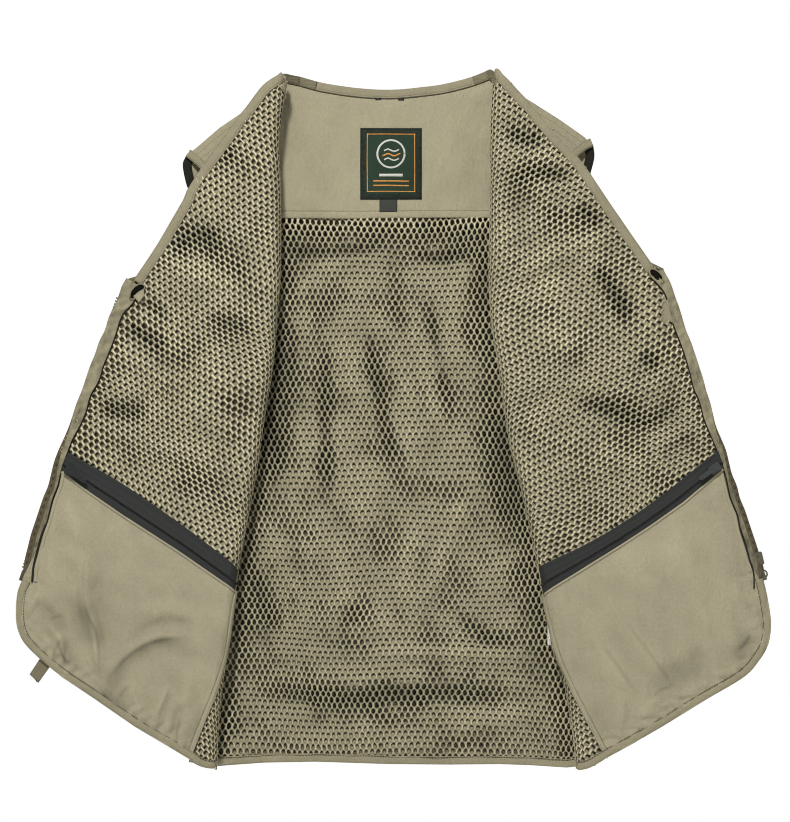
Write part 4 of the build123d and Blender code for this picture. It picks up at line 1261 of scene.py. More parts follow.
def make_back_hem():
    path = resample([(-204, 757.5), (-195, 762.5), (-186, 766.5), (-177, 768.4)]
                    + HEM_BACK[3:-2] + [(186, 769.4), (196, 766.6), (205, 761.5)],
                    step=2.5)
    add(ribbon("back_hem_binding_cloth", back_lining, path, -8.6, BINDING, front=1.5,
               back=3.0, seed=7, wave=0.4), "back_hem_binding")
    add(stitches("back_hem_stitches", back_lining, offset_line(path, -7.9), SEAM_THREAD_SHADOW,
                 lift=1.75, length=2.7, radius=0.34))


make_back_shell()
make_yoke()
make_back_net("upper", BACK_NET_TOP, BACK_NET_SPLIT, "back_mesh_lining")
make_back_net("lower", BACK_NET_SPLIT, BACK_NET_LOW, None)
make_neck_binding()
make_back_hem()

# ---------------------------------------------------------------------------
# fronts
# ---------------------------------------------------------------------------
ZIP_DOWN = (0.3297539, 0.9440669)          # direction of the main zip on the +x side
ZIP_INWARD = (-ZIP_DOWN[1], ZIP_DOWN[0])
ZIP_END = (369.0, 572.0)


def by_zip(side, down, inward):
    """Place from the lower end of the main zip: down along it and inward from it."""
    x = ZIP_END[0] + ZIP_DOWN[0] * down + ZIP_INWARD[0] * inward
    y = ZIP_END[1] + ZIP_DOWN[1] * down + ZIP_INWARD[1] * inward
    return side * x, y


def make_front_net(side):
    """Open lining of a folded front, round the roll of the fold."""
    roll_edge = [(side * (crease_x(side, y) - 45.0), y) for y in np.linspace(765, 76, 60)]
    outline = NECK_EDGE[side] + ZIP_OUTER[side] + HEM[side] + roll_edge
    pocket = TAPE_TOP[side] + PANEL_INNER[side] + [(side * 330, 800), (side * 420, 640),
                                                   (side * 420, 430)]

    def inside(x, y):
        ok = inside_polygon(outline, x, y)
        for line, margin in ((NECK_EDGE, 3.0), (ZIP_OUTER, 4.0), (HEM, 3.0)):
            ok &= nearest(x, y, line[side]) > margin
        corner_x, corner_y = NECK_EDGE[side][0]
        ok &= np.hypot(x - corner_x, y - corner_y) > 15.0
        ok &= y > 82.0
        ok &= ~((x * side < crease_x(side, y) + ROLL_ACROSS - 30.0) & (y < 118.0))
        if side > 0:
            ok &= ~((x > 269.5) & (y > 299.5) & (y < 323.5))
        # only a margin of the net runs under the inner pocket
        margin = nearest(x, y, TAPE_TOP[side], PANEL_INNER[side]) < 7.0
        return ok & (~inside_polygon(pocket, x, y) | margin)

    def tone(x, y):
        # random tone, with painted highlight where folds press the lining to the shell, and
        # painted shade where folds hold it apart
        value = 0.95 + 0.07 * tone_noise(x + 60, y)
        value = (value + 0.16 * folds(x, y, FRONT_CLOSE[side])
                 - 0.30 * folds(x, y, FRONT_APART[side]))
        return np.clip(value, 0.45, 1.28)

    warp_x, warp_y = Waves(81 + side, 12, 90, 260), Waves(84 + side, 12, 90, 260)
    name = SIDE_NAMES[side]
    add(hex_net("front_mesh_%s_net" % name, front_lining[side], inside, tone, pitch=6.3,
                row=5.6, flank=1.9, strand=1.0, neck=1.3, lean=1.8, knot_highlight=1.75,
                turn=side * math.radians(33.0), origin=(side * 250.0, 400.0), span=80,
                warp=lambda x, y: (2.8 * warp_x(x, y), 2.8 * warp_y(x, y))),
        "front_mesh_" + name, side)


def make_front_shell(side):
    """Outer cloth of a front: the folded part and the roll."""
    zip_line = [by_zip(side, down, 8.0) for down in (-285, -200, -100, 4)]
    inner = [(side * (crease_x(side, y) - 42.0 + 24.0 * smooth((122.0 - y) / 40.0)), y)
             for y in np.linspace(77, 764, 60)]
    top = [inner[0]] + NECK_EDGE[side][1:-1] + [zip_line[0]]
    low = [inner[-1], (side * 190, 766)] + HEM[side][::-1][1:-3] + [zip_line[-1]]
    grid = coons(resample(top, step=3), resample(low, step=3), inner, zip_line, 110, 170)
    name = SIDE_NAMES[side]
    # the inner face is darkened by gap_shade: painted shade where the lining stands off it
    add(cloth("front_shell_%s_cloth" % name, below_lining(side), grid, LINED_POPLIN,
              front=0.0, back=-SHELL_THICK,
              tone=lambda x, y: gap_shade(FRONT_GAP[side](x, y))),
        node="front_shell_" + name, side=side)


def make_side_front(side):
    """The part of a front that stays with the body, its lining and its armhole."""
    name = SIDE_NAMES[side]

    def height(x, y):
        seam = nearest(x, y, SIDE_SEAM[side], SHOULDER[side])
        return lerp(3.6, 11.2 + 0.9 * side_noise(x, y), smooth(seam / 26.0))

    plate = over(Field(height, top=60, step=3.0))
    roll = [(side * (crease_x(side, y) + ROLL_ACROSS - 4.0), y)
            for y in np.linspace(80, 758, 50)]
    shoulder = resample([roll[0]] + SHOULDER[side][1:], step=3)
    corner = (side * 200, 756)
    outer = spline(ARM_FRONT[side] + SIDE_SEAM[side][1:-1] + [corner], 3)
    low = [roll[-1], (side * 192, 757.5), corner]
    add(cloth("side_front_%s_cloth" % name, plate,
              coons(shoulder, low, roll, outer, 60, 170), POPLIN, front=0.6, back=-0.6),
        node="side_front_" + name)
    add(cloth("side_lining_%s_cloth" % name, offset_surface(plate, -2.6),
              coons(shoulder, low, roll, outer, 40, 110), POCKET_CLOTH, front=0.4,
              back=-0.4), "side_lining_" + name)
    for k, inset in enumerate((6.0, 12.0)):            # double row by the shoulder seam
        add(stitches("shoulder_stitches_%s_%d" % (name, k + 1), plate,
                     offset_line(SHOULDER[side][2:], side * inset)[2:-6], THREAD,
                     lift=0.75))

    front_edge, back_edge_line = spline(ARM_FRONT[side], 2.5), spline(ARM_BACK[side], 2.5)
    add(ribbon("armhole_binding_%s_front" % name, plate, front_edge, side * 8.5, BINDING,
               front=1.4, back=4.2, seed=13 + side),
        "armhole_binding_" + name)
    add(stitches("armhole_stitches_" + name, plate, offset_line(front_edge, side * 7.2),
                 THREAD, lift=1.1))
    # painted shade: a dark ribbon on the back's armhole edge stands for the shaded inside of
    # the armhole
    add(ribbon("armhole_binding_%s_back" % name, back_shell, back_edge_line, side * 9.0,
               SHADE_CLOTH, front=1.6, back=0.9, seed=17 + side))
    add(ribbon("armhole_binding_%s_rear" % name, back_shell,
               offset_line(back_edge_line, side * 0.5), side * 9.5, BINDING, front=-0.6,
               back=3.0, seed=18 + side))


def make_front_edges(side):
    """Bindings of the neckline edge and of the hem of a front."""
    name, lining = SIDE_NAMES[side], front_lining[side]
    path = spline(NECK_EDGE[side], 2.5)
    add(ribbon("neck_edge_binding_%s_cloth" % name, lining, path, side * 9.6, BINDING,
               front=1.6, back=3.0, seed=23 + side, wave=0.4),
        "neck_edge_binding_" + name, side)
    add(stitches("neck_edge_stitches_" + name, lining,
                 offset_line(path, side * 8.9)[8:-2], SEAM_THREAD_SHADOW, lift=1.0, length=2.6,
                 radius=0.3), side=side)
    path = spline(HEM[side], 2.5)
    add(ribbon("front_hem_binding_%s_cloth" % name, lining, path, side * 8.6, BINDING,
               front=3.2, back=3.4, seed=29 + side, wave=0.5),
        "front_hem_binding_" + name, side)
    add(stitches("front_hem_stitches_" + name, lining, offset_line(path, side * 8.1),
                 SEAM_THREAD_SHADOW, lift=3.5, length=2.5, radius=0.36),
        side=side)


# closed sections (across, height) of the strips along the main zip
FACING_PROFILE = [(0.0, 0.3), (0.02, 1.1), (0.12, 1.6), (0.30, 1.7), (0.42, 1.35),
                  (0.55, 1.75), (0.8, 2.1), (0.97, 2.5), (1.0, 2.1), (0.97, 1.4),
                  (0.8, 0.9), (0.45, 0.5), (0.1, 0.1)]
DARK_LINE_PROFILE = [(0.0, 0.3), (0.1, 1.25), (0.5, 1.35), (0.9, 1.2), (1.0, 0.4),
                     (0.5, 0.1)]
MAIN_TAPE_PROFILE = [(0.0, -0.7), (0.02, 0.5), (0.22, 0.9), (0.42, 0.4), (0.5, -0.6),
                     (1.0, -0.75), (1.0, -1.2), (0.5, -1.5), (0.2, -1.6)]


def facing_tone(x, y):
    value = 0.90 + 0.10 * facing_noise(x, y) + 0.12 * crimp_noise(x, y)
    return np.clip(value, 0.3, 1.15) * (1.0 - 0.28 * smooth((y - 430) / 70.0))


def make_main_zip(side):
    """Facing and tape along the front zip."""
    name, lining = SIDE_NAMES[side], front_lining[side]
    outer, inner = paired(ZIP_OUTER[side], ZIP_INNER[side], 2.5)
    across = (inner - outer) / (np.linalg.norm(inner - outer, axis=1)[:, None] + 1e-9)
    # the tape shows beside the facing lower down
    facing_outer = outer + across * np.clip((outer[:, 1:2] - 415) / 60.0, 0, 1) * 6.2
    add(strip("zip_facing_%s_cloth" % name, lining, facing_outer, inner, FACING,
              FACING_PROFILE, tone=facing_tone,
              wave=lambda x, y: 0.55 * facing_noise(x, y) + 0.35 * crimp_noise(x, y)),
        node="zip_facing_" + name, side=side)
    # painted shade: a dark line in the gap beside the facing, broken where the left tape is
    # bared
    spans = ((250.0, 301.0), (323.0, 620.0)) if side > 0 else ((250.0, 620.0),)
    for k, (top, bottom) in enumerate(spans):
        part = (inner[:, 1] > top) & (inner[:, 1] < bottom)
        add(strip("zip_gap_%s_%d" % (name, k + 1), lining, (inner - across * 0.8)[part],
                  (inner + across * 1.5)[part], SHADE_CLOTH, DARK_LINE_PROFILE,
                  wave=lambda x, y: 2.9 * smooth((y - 515) / 25.0)), side=side)
    reach = 25.0 - np.clip((outer[:, 1:2] - 300) / 120.0, 0, 1) * 6.0
    tape = strip("main_zip_tape_%s_cloth" % name, lining, outer, outer + across * reach,
                 KHAKI_TAPE, MAIN_TAPE_PROFILE, step=2.0,
                 wave=lambda x, y: 0.3 * crimp_noise(x, y))
    if side > 0:        # the bared end of the tape is faced with cloth
        tape.data.materials.append(FACING_RIM)
        for polygon in tape.data.polygons:
            if 294.0 < 100.0 - polygon.center[2] * 1000.0 < 329.0:
                polygon.material_index = 1
    add(tape, "main_zip_tape_" + name, side)
    seam = facing_outer + (inner - facing_outer) * 0.42
    add(stitches("zip_stitches_" + name, lining, seam[inner[:, 1] > 345], THREAD,
                 lift=1.15), side=side)
    # the pleats of the lower tape are short lumps of the dark seam thread; their darkness is
    # painted shade
    low = (outer[:, 1] > 455) & (outer[:, 1] < 562)
    add(stitches("main_zip_tape_%s_pleats" % name, lining, (outer + across * 3.0)[low],
                 SEAM_THREAD_SHADOW, pitch=7.3, length=4.4, radius=0.95, lift=1.1),
        side=side)


# outline of the open end of the facing, and corners of the cloth behind it
ZIP_TOP_HOLE = {
    -1: [(-261.5, 298), (-260.5, 291.5), (-256.5, 287), (-251.5, 284.5), (-247.5, 285.5),
         (-248, 288.5), (-253, 291), (-256.5, 294), (-259, 299)],
    1: [(264.5 + 8.4 * math.cos(t) * 0.72 - 3.5 * math.sin(t) * 0.69,
         275.8 + 8.4 * math.cos(t) * 0.69 + 3.5 * math.sin(t) * 0.72)
        for t in np.linspace(0, 2 * math.pi, 17)[:-1]]}
ZIP_TOP_BACKING = {-1: [(-265, 279), (-242, 272), (-242, 304), (-272, 296)],
                   1: [(246, 256), (271.5, 268.5), (276, 284), (259, 296)]}
# corners of two small tabs, on the right front only
ZIP_TOP_TAB = [(-258.5, 296), (-248.2, 289.5), (-247.5, 296), (-253, 303)]
LINING_TOP_TAB = [(-114.5, 85.5), (-101.5, 80.0), (-98.5, 84.5), (-104, 92.5)]


def make_zip_top(side):
    """Open end of the facing at the top of the zip, with its dark inside in painted shade."""
    name, lining = SIDE_NAMES[side], front_lining[side]
    hole = ZIP_TOP_HOLE[side]
    rim = hole + hole[:1]
    centre = np.mean(hole, axis=0)
    loop = resample(rim, n=29)[:-1]
    disc = centre + (loop[None] - centre) * np.linspace(0.0, 1.0, 6)[:, None, None]
    disc = np.concatenate([disc, disc[:, :1]], axis=1)
    add(cloth("zip_top_backing_" + name, lining, quad(ZIP_TOP_BACKING[side], 12, 14),
              BACKING, front=-0.5, back=-1.9), side=side)
    add(cloth("zip_top_hollow_" + name, lining, disc, HOLLOW_SHADE, front=3.9, back=1.0,
              edge=0.5), side=side)
    if side < 0:
        add(cloth("zip_top_tab_right", lining, quad(ZIP_TOP_TAB, 8, 8), POCKET_CLOTH,
                  front=4.9, back=3.4), side=side)
        add(cloth("lining_top_tab_right", lining, quad(LINING_TOP_TAB, 8, 8),
                  POCKET_CLOTH, front=1.9, back=0.5), side=side)
        add(stitches("lining_top_tab_stitches", lining,
                     resample(LINING_TOP_TAB[:2], step=1.5), SEAM_THREAD_SHADOW, lift=1.9,
                     length=1.8), side=side)
    add(ribbon("zip_top_rim_" + name, lining, resample(rim, step=1.2), -1.6, FACING_RIM,
               front=4.4, back=0.5, seed=91 + side, wave=0.1, groove=0.97), side=side)


def make_inner_pocket(side):
    """Crumpled panel of the slanting inner pocket, with its turned edges."""
    name = SIDE_NAMES[side]
    ridges = Field(lambda x, y: folds(x, y, PANEL_RIDGE[side]), step=1.5)
    creases = Field(lambda x, y: folds(x, y, PANEL_CREASE_SHADE[side]), step=1.0)
    pucker = Waves(71 + side, 9, 9, 17)

    def height(x, y):
        hem = nearest(x, y, HEM[side])
        edge = np.minimum(hem, nearest(x, y, PANEL_INNER[side], ZIP_INNER[side]))
        mouth = nearest(x, y, MOUTH[side])
        loose = smooth((edge - 2.0) / 15.0) * smooth((mouth - 1.0) / 14.0)
        return (2.0 + loose * (1.7 + 0.9 * panel_noise(x, y) + 1.35 * ridges(x, y))
                + pucker(x, y) * 0.8 * bell(hem - 14, 8.0))

    def tone(x, y):
        # painted highlight on the ridges and painted shade along the creases and in broad
        # patches, over a little random tone
        value = 1.0 + 0.045 * ridges(x, y) + 0.03 * panel_noise(x + 50, y)
        value = value - 0.30 * folds(x, y, PANEL_SHADE[side]) - 0.42 * creases(x, y)
        return np.clip(value, 0.4, 1.12)

    panel = offset_surface(front_lining[side], height)
    by_main_zip = [point for point in ZIP_INNER[side] if 480 < point[1] < 583]
    outer = resample(MOUTH[side][:1] + by_main_zip, step=3) - np.array([side * 1.7, 0.0])
    inner = spline(PANEL_INNER[side][:-1] + [HEM[side][-4]], 3)
    top = resample([outer[0], *MOUTH[side][1:-1], inner[0]], step=3)
    low = resample([outer[-1], *HEM[side][1:-4], inner[-1]], step=3)
    grid = coons(top[::-1], low[::-1], inner, outer, 165, 150)
    prefix = "inner_pocket_%s_" % name
    add(cloth(prefix + "cloth", panel, grid, POCKET_PANEL, front=0.5, back=-0.4,
              tone=tone), node="inner_pocket_" + name, side=side)
    add(ribbon(prefix + "lip", panel, top, -side * 2.2, POCKET_CLOTH, front=1.25,
               back=0.5, seed=31 + side, wave=0.1, groove=0.97), side=side)
    add(stitches(prefix + "stitches", panel, offset_line(top, -side * 2.9), THREAD,
                 lift=0.7), side=side)
    add(ribbon(prefix + "edge", panel, outer, side * 3.4, POCKET_CLOTH, front=1.15,
               back=0.6, seed=35 + side, wave=0.3, groove=0.97), side=side)
    add(ribbon(prefix + "seam", panel, inner[::-1], -side * 5.0, POCKET_CLOTH, front=1.0,
               back=0.6, seed=33 + side, wave=0.2, groove=0.97), side=side)
    # (inset, lift) of the rows along the seam
    rows = ((3.2, 1.1), (8.6, 0.6)) if side > 0 else ((3.4, 1.1),)
    for k, (inset, lift) in enumerate(rows):
        add(stitches(prefix + "seam_stitches_%d" % (k + 1), panel,
                     offset_line(inner[::-1], -side * inset), THREAD, lift=lift),
            side=side)


# closed section (across, height) of the inner pocket's zip tape, with woven ribs
INNER_TAPE_PROFILE = [(0.0, 1.4), (0.02, 2.1), (0.10, 2.3), (0.13, 2.1), (0.3, 2.15),
                      (0.34, 2.35), (0.38, 2.15), (0.5, 2.2), (0.54, 2.5), (0.60, 2.5),
                      (0.72, 2.3), (0.9, 2.2), (1.0, 1.6), (0.97, 1.2), (0.5, 1.2),
                      (0.03, 1.2)]


def make_inner_zip(side):
    name, lining = SIDE_NAMES[side], front_lining[side]
    top, low = paired(TAPE_TOP[side], MOUTH[side], 2.0)
    low = low + (low - top) * 0.12
    add(strip("inner_zip_tape_%s_cloth" % name, lining, top, low, BLACK_TAPE,
              INNER_TAPE_PROFILE, step=1.6), "inner_zip_tape_" + name, side)
    middle = top + (low - top) * 0.60
    for k, offset in enumerate((-0.55, 0.55)):
        add(stitches("inner_zip_coil_%s_%d" % (name, k + 1), lining,
                     offset_line(middle, offset, step=1.0), COIL, pitch=1.25,
                     length=1.15, radius=0.62, lift=3.2),
            "inner_zip_coil_" + name if k == 0 else None, side)
    add(stitches("inner_zip_tape_%s_stitches" % name, lining, top + (low - top) * 0.07,
                 COIL, lift=2.45), side=side)


for side in (-1, 1):
    make_front_net(side)
    make_front_shell(side)
    make_side_front(side)
    make_front_edges(side)
    make_main_zip(side)
    make_zip_top(side)
    make_inner_pocket(side)
    make_inner_zip(side)


# ---------------------------------------------------------------------------
# labels
# ---------------------------------------------------------------------------
def label_line(name, path, step, width, mat, front, seed):
    """Raised embroidered line on the woven label."""
    add(ribbon("woven_label_" + name, yoke, resample(path, step=step), width, mat,
               front=front, back=-1.5, seed=seed, wave=0.03, groove=0.97))


def make_woven_label():
    """Green label with a frame, a ring with ripples in it, and plain bars."""
    centre_x = -1.0
    add(patch("woven_label_border", (-32, 30, 126, 198), LABEL_BORDER, yoke, 1.8, 0.5),
        "woven_label")
    add(patch("woven_label_cloth", (-27.6, 25.6, 130.2, 193.6), LABEL_GREEN, yoke, 2.05,
              0.5))
    corners = [(-25.5, 131.5), (23.5, 131.5), (23.5, 190.5), (-25.5, 190.5),
               (-25.5, 131.5)]
    for k in range(4):
        label_line("frame_%d" % (k + 1), corners[k:k + 2], 3, 1.1, LABEL_GOLD,
                   front=2.25, seed=40 + k)
    ring = [(centre_x + 12.5 * math.cos(t), 152 + 12.5 * math.sin(t))
            for t in np.linspace(0.0, 2 * math.pi, 49)]
    label_line("ring", ring, 1.4, -2.2, LABEL_WHITE, front=2.45, seed=49)
    # (drop, half length, material)
    for k, (y, half, mat) in enumerate(((147.5, 7.5, LABEL_WHITE), (152, 9.0, LABEL_GOLD),
                                        (156.5, 7.5, LABEL_WHITE))):
        ripple = [(centre_x + x, y + 1.2 * math.sin(x / 2.0))
                  for x in np.linspace(-half, half, 25)]
        label_line("ripple_%d" % (k + 1), ripple, 1.2, 1.7, mat, front=2.5, seed=50 + k)
    # (drop, half length, width, material)
    for k, (y, half, width, mat) in enumerate(((171.5, 12.0, 3.2, LABEL_WHITE),
                                               (178.5, 18.0, 1.6, LABEL_GOLD),
                                               (183.0, 18.0, 1.6, LABEL_GOLD))):
        label_line("bar_%d" % (k + 1), [(centre_x - half, y), (centre_x + half, y)], 2.0,
                   width, mat, front=2.45, seed=56 + k)
    rim = [(-30.8, 127.2), (28.8, 127.2), (28.8, 196.8), (-30.8, 196.8), (-30.8, 127.2)]
    add(stitches("woven_label_stitches", yoke, resample(rim, step=2.0), COIL, lift=2.0,
                 pitch=2.2, length=1.7))


make_woven_label()
add(patch("size_tab_cloth", (-12.6, 5.2, 197.5, 210.5), TAB_GREY, yoke, 1.5, 0.4, n=12),
    "size_tab")
add(patch("care_label_cloth", (156.5, 184, 627, 646.5), SATIN,
          over(lambda x, y: 6.0 + 3.2 * np.sin((x - 146) / 14.0)), 0.2, -0.2, n=14),
    "care_label")


# ---------------------------------------------------------------------------
# padded outer pockets: cloth simulation of each pouch's outer sheet
# ---------------------------------------------------------------------------
def simulate(points, pinned, pressure, seed, frames=20):
    """Inflates a grid of points in metres that is held where pinned."""
    rows, columns = points.shape[:2]
    rng = np.random.default_rng(seed)
    start = points.copy()
    start[..., 2] += rng.normal(0, 4e-5, (rows, columns)) * ~pinned
    mesh = bpy.data.meshes.new("pouch_rest")
    mesh.from_pydata([tuple(point) for point in start.reshape(-1, 3).tolist()], [],
                     [tuple(face) for face in grid_faces(rows, columns).tolist()])
    ob = bpy.data.objects.new("pouch_rest", mesh)
    scene = bpy.context.scene
    scene.collection.objects.link(ob)
    group = ob.vertex_groups.new(name="pin")
    for i in np.nonzero(pinned.ravel())[0].tolist():
        group.add([i], 1.0, "REPLACE")
    modifier = ob.modifiers.new("cloth", "CLOTH")
    settings = modifier.settings
    settings.quality = 6
    settings.mass = 0.25
    settings.tension_stiffness = 12.0
    settings.compression_stiffness = 12.0
    settings.shear_stiffness = 5.0
    settings.bending_stiffness = 0.4
    settings.use_pressure = True
    settings.uniform_pressure_force = pressure
    settings.shrink_min = -0.035
    settings.vertex_group_mass = "pin"
    settings.effector_weights.gravity = 0.0
    modifier.collision_settings.use_collision = False
    modifier.point_cache.frame_start = 1
    modifier.point_cache.frame_end = frames
    for frame in range(1, frames + 1):
        scene.frame_set(frame)
    result = ob.evaluated_get(bpy.context.evaluated_depsgraph_get())
    co = np.empty(rows * columns * 3)
    result.data.vertices.foreach_get("co", co)
    bpy.data.objects.remove(ob, do_unlink=True)
    scene.frame_set(1)
    return co.reshape(rows, columns, 3)


def pouch_relief(width, height, rows, columns, seed, rise, pressure=3.0):
    """Height of a padded rectangle's outer sheet over its flat plane, in mm."""
    x, y = np.meshgrid(np.linspace(0, width, columns), np.linspace(0, height, rows))
    pinned = rim_mask((rows, columns), 0.0) < 0.5
    start = (Waves(seed, 16, 16, 50)(x, y) * 0.5 + 0.6) * ~pinned
    out = simulate(np.stack([x, y, start], -1) / 1000.0, pinned, pressure, seed)
    z = np.clip(out[..., 2] * 1000.0, -1.0, None)
    return z * (rise / max(1e-3, np.percentile(z, 99)))


def rounded(down, across, top, bottom, inner, outer, radius):
    """Pushes a rectangle's grid inwards at its corners."""
    for centre_down, sign_down in ((top + radius, -1), (bottom - radius, 1)):
        for centre_across, sign_across in ((inner + radius, -1), (outer - radius, 1)):
            past_down = (down - centre_down) * sign_down
            past_across = (across - centre_across) * sign_across
            corner = (past_down > 0) & (past_across > 0)
            scale = (np.maximum(past_down, past_across)
                     / np.maximum(np.hypot(past_down, past_across), 1e-9))
            down = np.where(corner, centre_down + sign_down * past_down * scale, down)
            across = np.where(corner, centre_across + sign_across * past_across * scale,
                              across)
    return down, across


def pouch(name, surface, place, down, across, relief, plane, wall):
    """Closed pouch on the rear side of a cloth.

    place turns the local grid down, across into x, y; plane is the z of its outer face,
    relief the padding on it, wall the width over which its sides fall off."""
    rows, columns = down.shape
    points, normals = surface_points(surface, *place(down, across))
    from_row = np.minimum(np.arange(rows), np.arange(rows)[::-1])[:, None]
    from_column = np.minimum(np.arange(columns), np.arange(columns)[::-1])[None, :]
    row_step, column_step = (np.abs(np.gradient(down, axis=k)).mean()
                             + np.abs(np.gradient(across, axis=k)).mean() for k in (0, 1))
    edge = np.minimum(from_row * row_step, from_column * column_step)
    share = 1 - (1 - np.clip(edge / wall, 0, 1)) ** 2.4
    z = points[..., 2] * (1 - share) + (plane - relief) * share
    z = np.minimum(z, points[..., 2] - 0.9)
    return sheet(name, world(points[..., 0], points[..., 1], z),
                 to_world(points + normals * 0.2), POPLIN)


def zip_profile(front, ridge):
    """Closed section (across, height) of a zip tape with a ridge on its rear side."""
    return [(0.0, 0.3), (0.5, front), (1.0, 0.3), (1.0, -0.2), (0.9, -0.45), (0.6, -0.35),
            (0.55, -ridge), (0.45, -ridge), (0.4, -0.35), (0.1, -0.45), (0.0, -0.2)]


# places on a front: (down, inward) as by_zip takes them
CHEST_TOP, CHEST_LOW, CHEST_OUTER, CHEST_INNER = -252.0, -144.0, 24.0, 116.0
CHEST_TAPE = CHEST_TOP + 14               # upper edge of the zip tape
CHEST_TAPE_WIDTH = 14.0
CARGO_TOP, CARGO_LOW, CARGO_OUTER, CARGO_WIDTH = -88.0, 52.0, 20.0, 104.0
CARGO_HEIGHT = CARGO_LOW - CARGO_TOP
LID = [(-94.0, 19.0), (-58.0, 19.0), (-46.0, 31.0), (-46.0, 113.0), (-58.0, 125.0),
       (-94.0, 125.0)]
LID_SEAM = [(-92.0, 22.5), (-59.6, 22.5), (-49.5, 32.6), (-49.5, 111.4), (-59.6, 121.5),
            (-92.0, 121.5)]
LID_Z = 23.1


def make_chest_pocket(side):
    name = SIDE_NAMES[side]
    carrier = "front_" + name
    rows, columns = 56, 48
    down, across = np.meshgrid(np.linspace(CHEST_TOP, CHEST_LOW, rows),
                               np.linspace(CHEST_OUTER, CHEST_INNER, columns),
                               indexing="ij")
    relief = pouch_relief(CHEST_INNER - CHEST_OUTER, CHEST_LOW - CHEST_TOP, rows, columns,
                          201 + side, rise=3.2)
    relief = relief * smooth((down - (CHEST_TOP + 30)) / 16.0)    # flat under the zip
    down, across = rounded(down, across, CHEST_TOP, CHEST_LOW, CHEST_OUTER, CHEST_INNER,
                           radius=10.0)
    add(pouch("chest_pocket_%s_cloth" % name, below_lining(side, SHELL_THICK),
              lambda *place: by_zip(side, *place), down, across, relief, plane=28.3,
              wall=9.0), node="chest_pocket_" + name, carrier=carrier)

    def tape_line(below, start, end):
        return [by_zip(side, CHEST_TAPE + below, inward) for inward in (start, end)]

    add(strip("chest_zip_%s_tape" % name, level(27.5), tape_line(0, 30, 110),
              tape_line(CHEST_TAPE_WIDTH, 30, 110), KHAKI_TAPE, zip_profile(0.45, 0.55),
              step=1.6), "chest_zip_" + name, carrier=carrier)
    for k, offset in enumerate((-0.55, 0.55)):
        line = offset_line(tape_line(CHEST_TAPE_WIDTH / 2, 32.0, 108.0), offset, step=1.0)
        add(stitches("chest_zip_%s_coil_%d" % (name, k + 1), level(26.4), line, COIL,
                     pitch=1.25, length=1.15, radius=0.6, lift=0.0),
            carrier=carrier)


def make_cargo_pocket(side):
    """Lower pocket of a front, with its lid."""
    name = SIDE_NAMES[side]
    rows, columns = 66, 56
    inner = CARGO_OUTER + CARGO_WIDTH
    low = resample([(CARGO_LOW - 26, CARGO_OUTER), (CARGO_LOW, 50.0),
                    (CARGO_LOW + 14, inner)], step=2)
    grid = coons([(CARGO_TOP, CARGO_OUTER), (CARGO_TOP, inner)], low,
                 [(CARGO_TOP, CARGO_OUTER), low[0]], [(CARGO_TOP, inner), low[-1]],
                 columns - 1, rows - 1)
    relief = pouch_relief(CARGO_WIDTH, CARGO_HEIGHT, rows, columns, 211 + side, rise=5.0)
    relief = relief * smooth((grid[..., 0] + 44.0) / 22.0)        # flat under the lid
    add(pouch("cargo_pocket_%s_cloth" % name, below_lining(side, SHELL_THICK),
              lambda *place: by_zip(side, *place), grid[..., 0], grid[..., 1], relief,
              plane=24.5, wall=10.0),
        node="cargo_pocket_" + name, carrier="front_" + name)
    grid = coons([LID[0], LID[5]], resample(LID[1:5], step=2), LID[:2],
                 [LID[5], LID[4]], 50, 26)
    x, y = by_zip(side, grid[..., 0], grid[..., 1])
    bow = LID_Z + 0.35 * Waves(221 + side, 12, 18, 60)(x, y)
    half = 0.65 * rim_mask(x.shape, 0.35)
    add(sheet("cargo_lid_%s_cloth" % name, world(x, y, bow + half),
              world(x, y, bow - half), POPLIN),
        node="cargo_lid_" + name, carrier="cargo_lid_" + name)
    add(stitches("cargo_lid_%s_stitches" % name, level(22.2),
                 [by_zip(side, *place) for place in LID_SEAM], THREAD, lift=0.0,
                 radius=0.25), carrier="cargo_lid_" + name)


for side in (-1, 1):
    make_chest_pocket(side)
    make_cargo_pocket(side)

# ---------------------------------------------------------------------------
# rear of the back: pocket, zip and seams
# ---------------------------------------------------------------------------
BACK_POCKET_TOP, BACK_POCKET_LOW, BACK_POCKET_HALF = 430, 680, 165
BACK_ZIP_Y = 416
POCKET_SEAM = [(-158, 437), (-158, 652), (-154, 664), (-146, 671), (-134, 674),
               (134, 674), (146, 671), (154, 664), (158, 652), (158, 437)]


def make_back_pocket():
    rows, columns = 74, 96
    down, across = np.meshgrid(
        np.linspace(BACK_POCKET_TOP, BACK_POCKET_LOW, rows),
        np.linspace(-BACK_POCKET_HALF, BACK_POCKET_HALF, columns), indexing="ij")
    relief = pouch_relief(2 * BACK_POCKET_HALF, BACK_POCKET_LOW - BACK_POCKET_TOP, rows,
                          columns, 231, rise=4.6, pressure=2.5)
    relief = relief * smooth((down - 436) / 26.0)
    down, across = rounded(down, across, BACK_POCKET_TOP, BACK_POCKET_LOW,
                           -BACK_POCKET_HALF, BACK_POCKET_HALF, radius=22.0)
    add(pouch("back_pocket_cloth", back_rear, lambda down, across: (across, down), down,
              across, relief, plane=-10.6, wall=8.0), node="back_pocket")


def level_line(half_length, y):
    return [(-half_length, y), (half_length, y)]


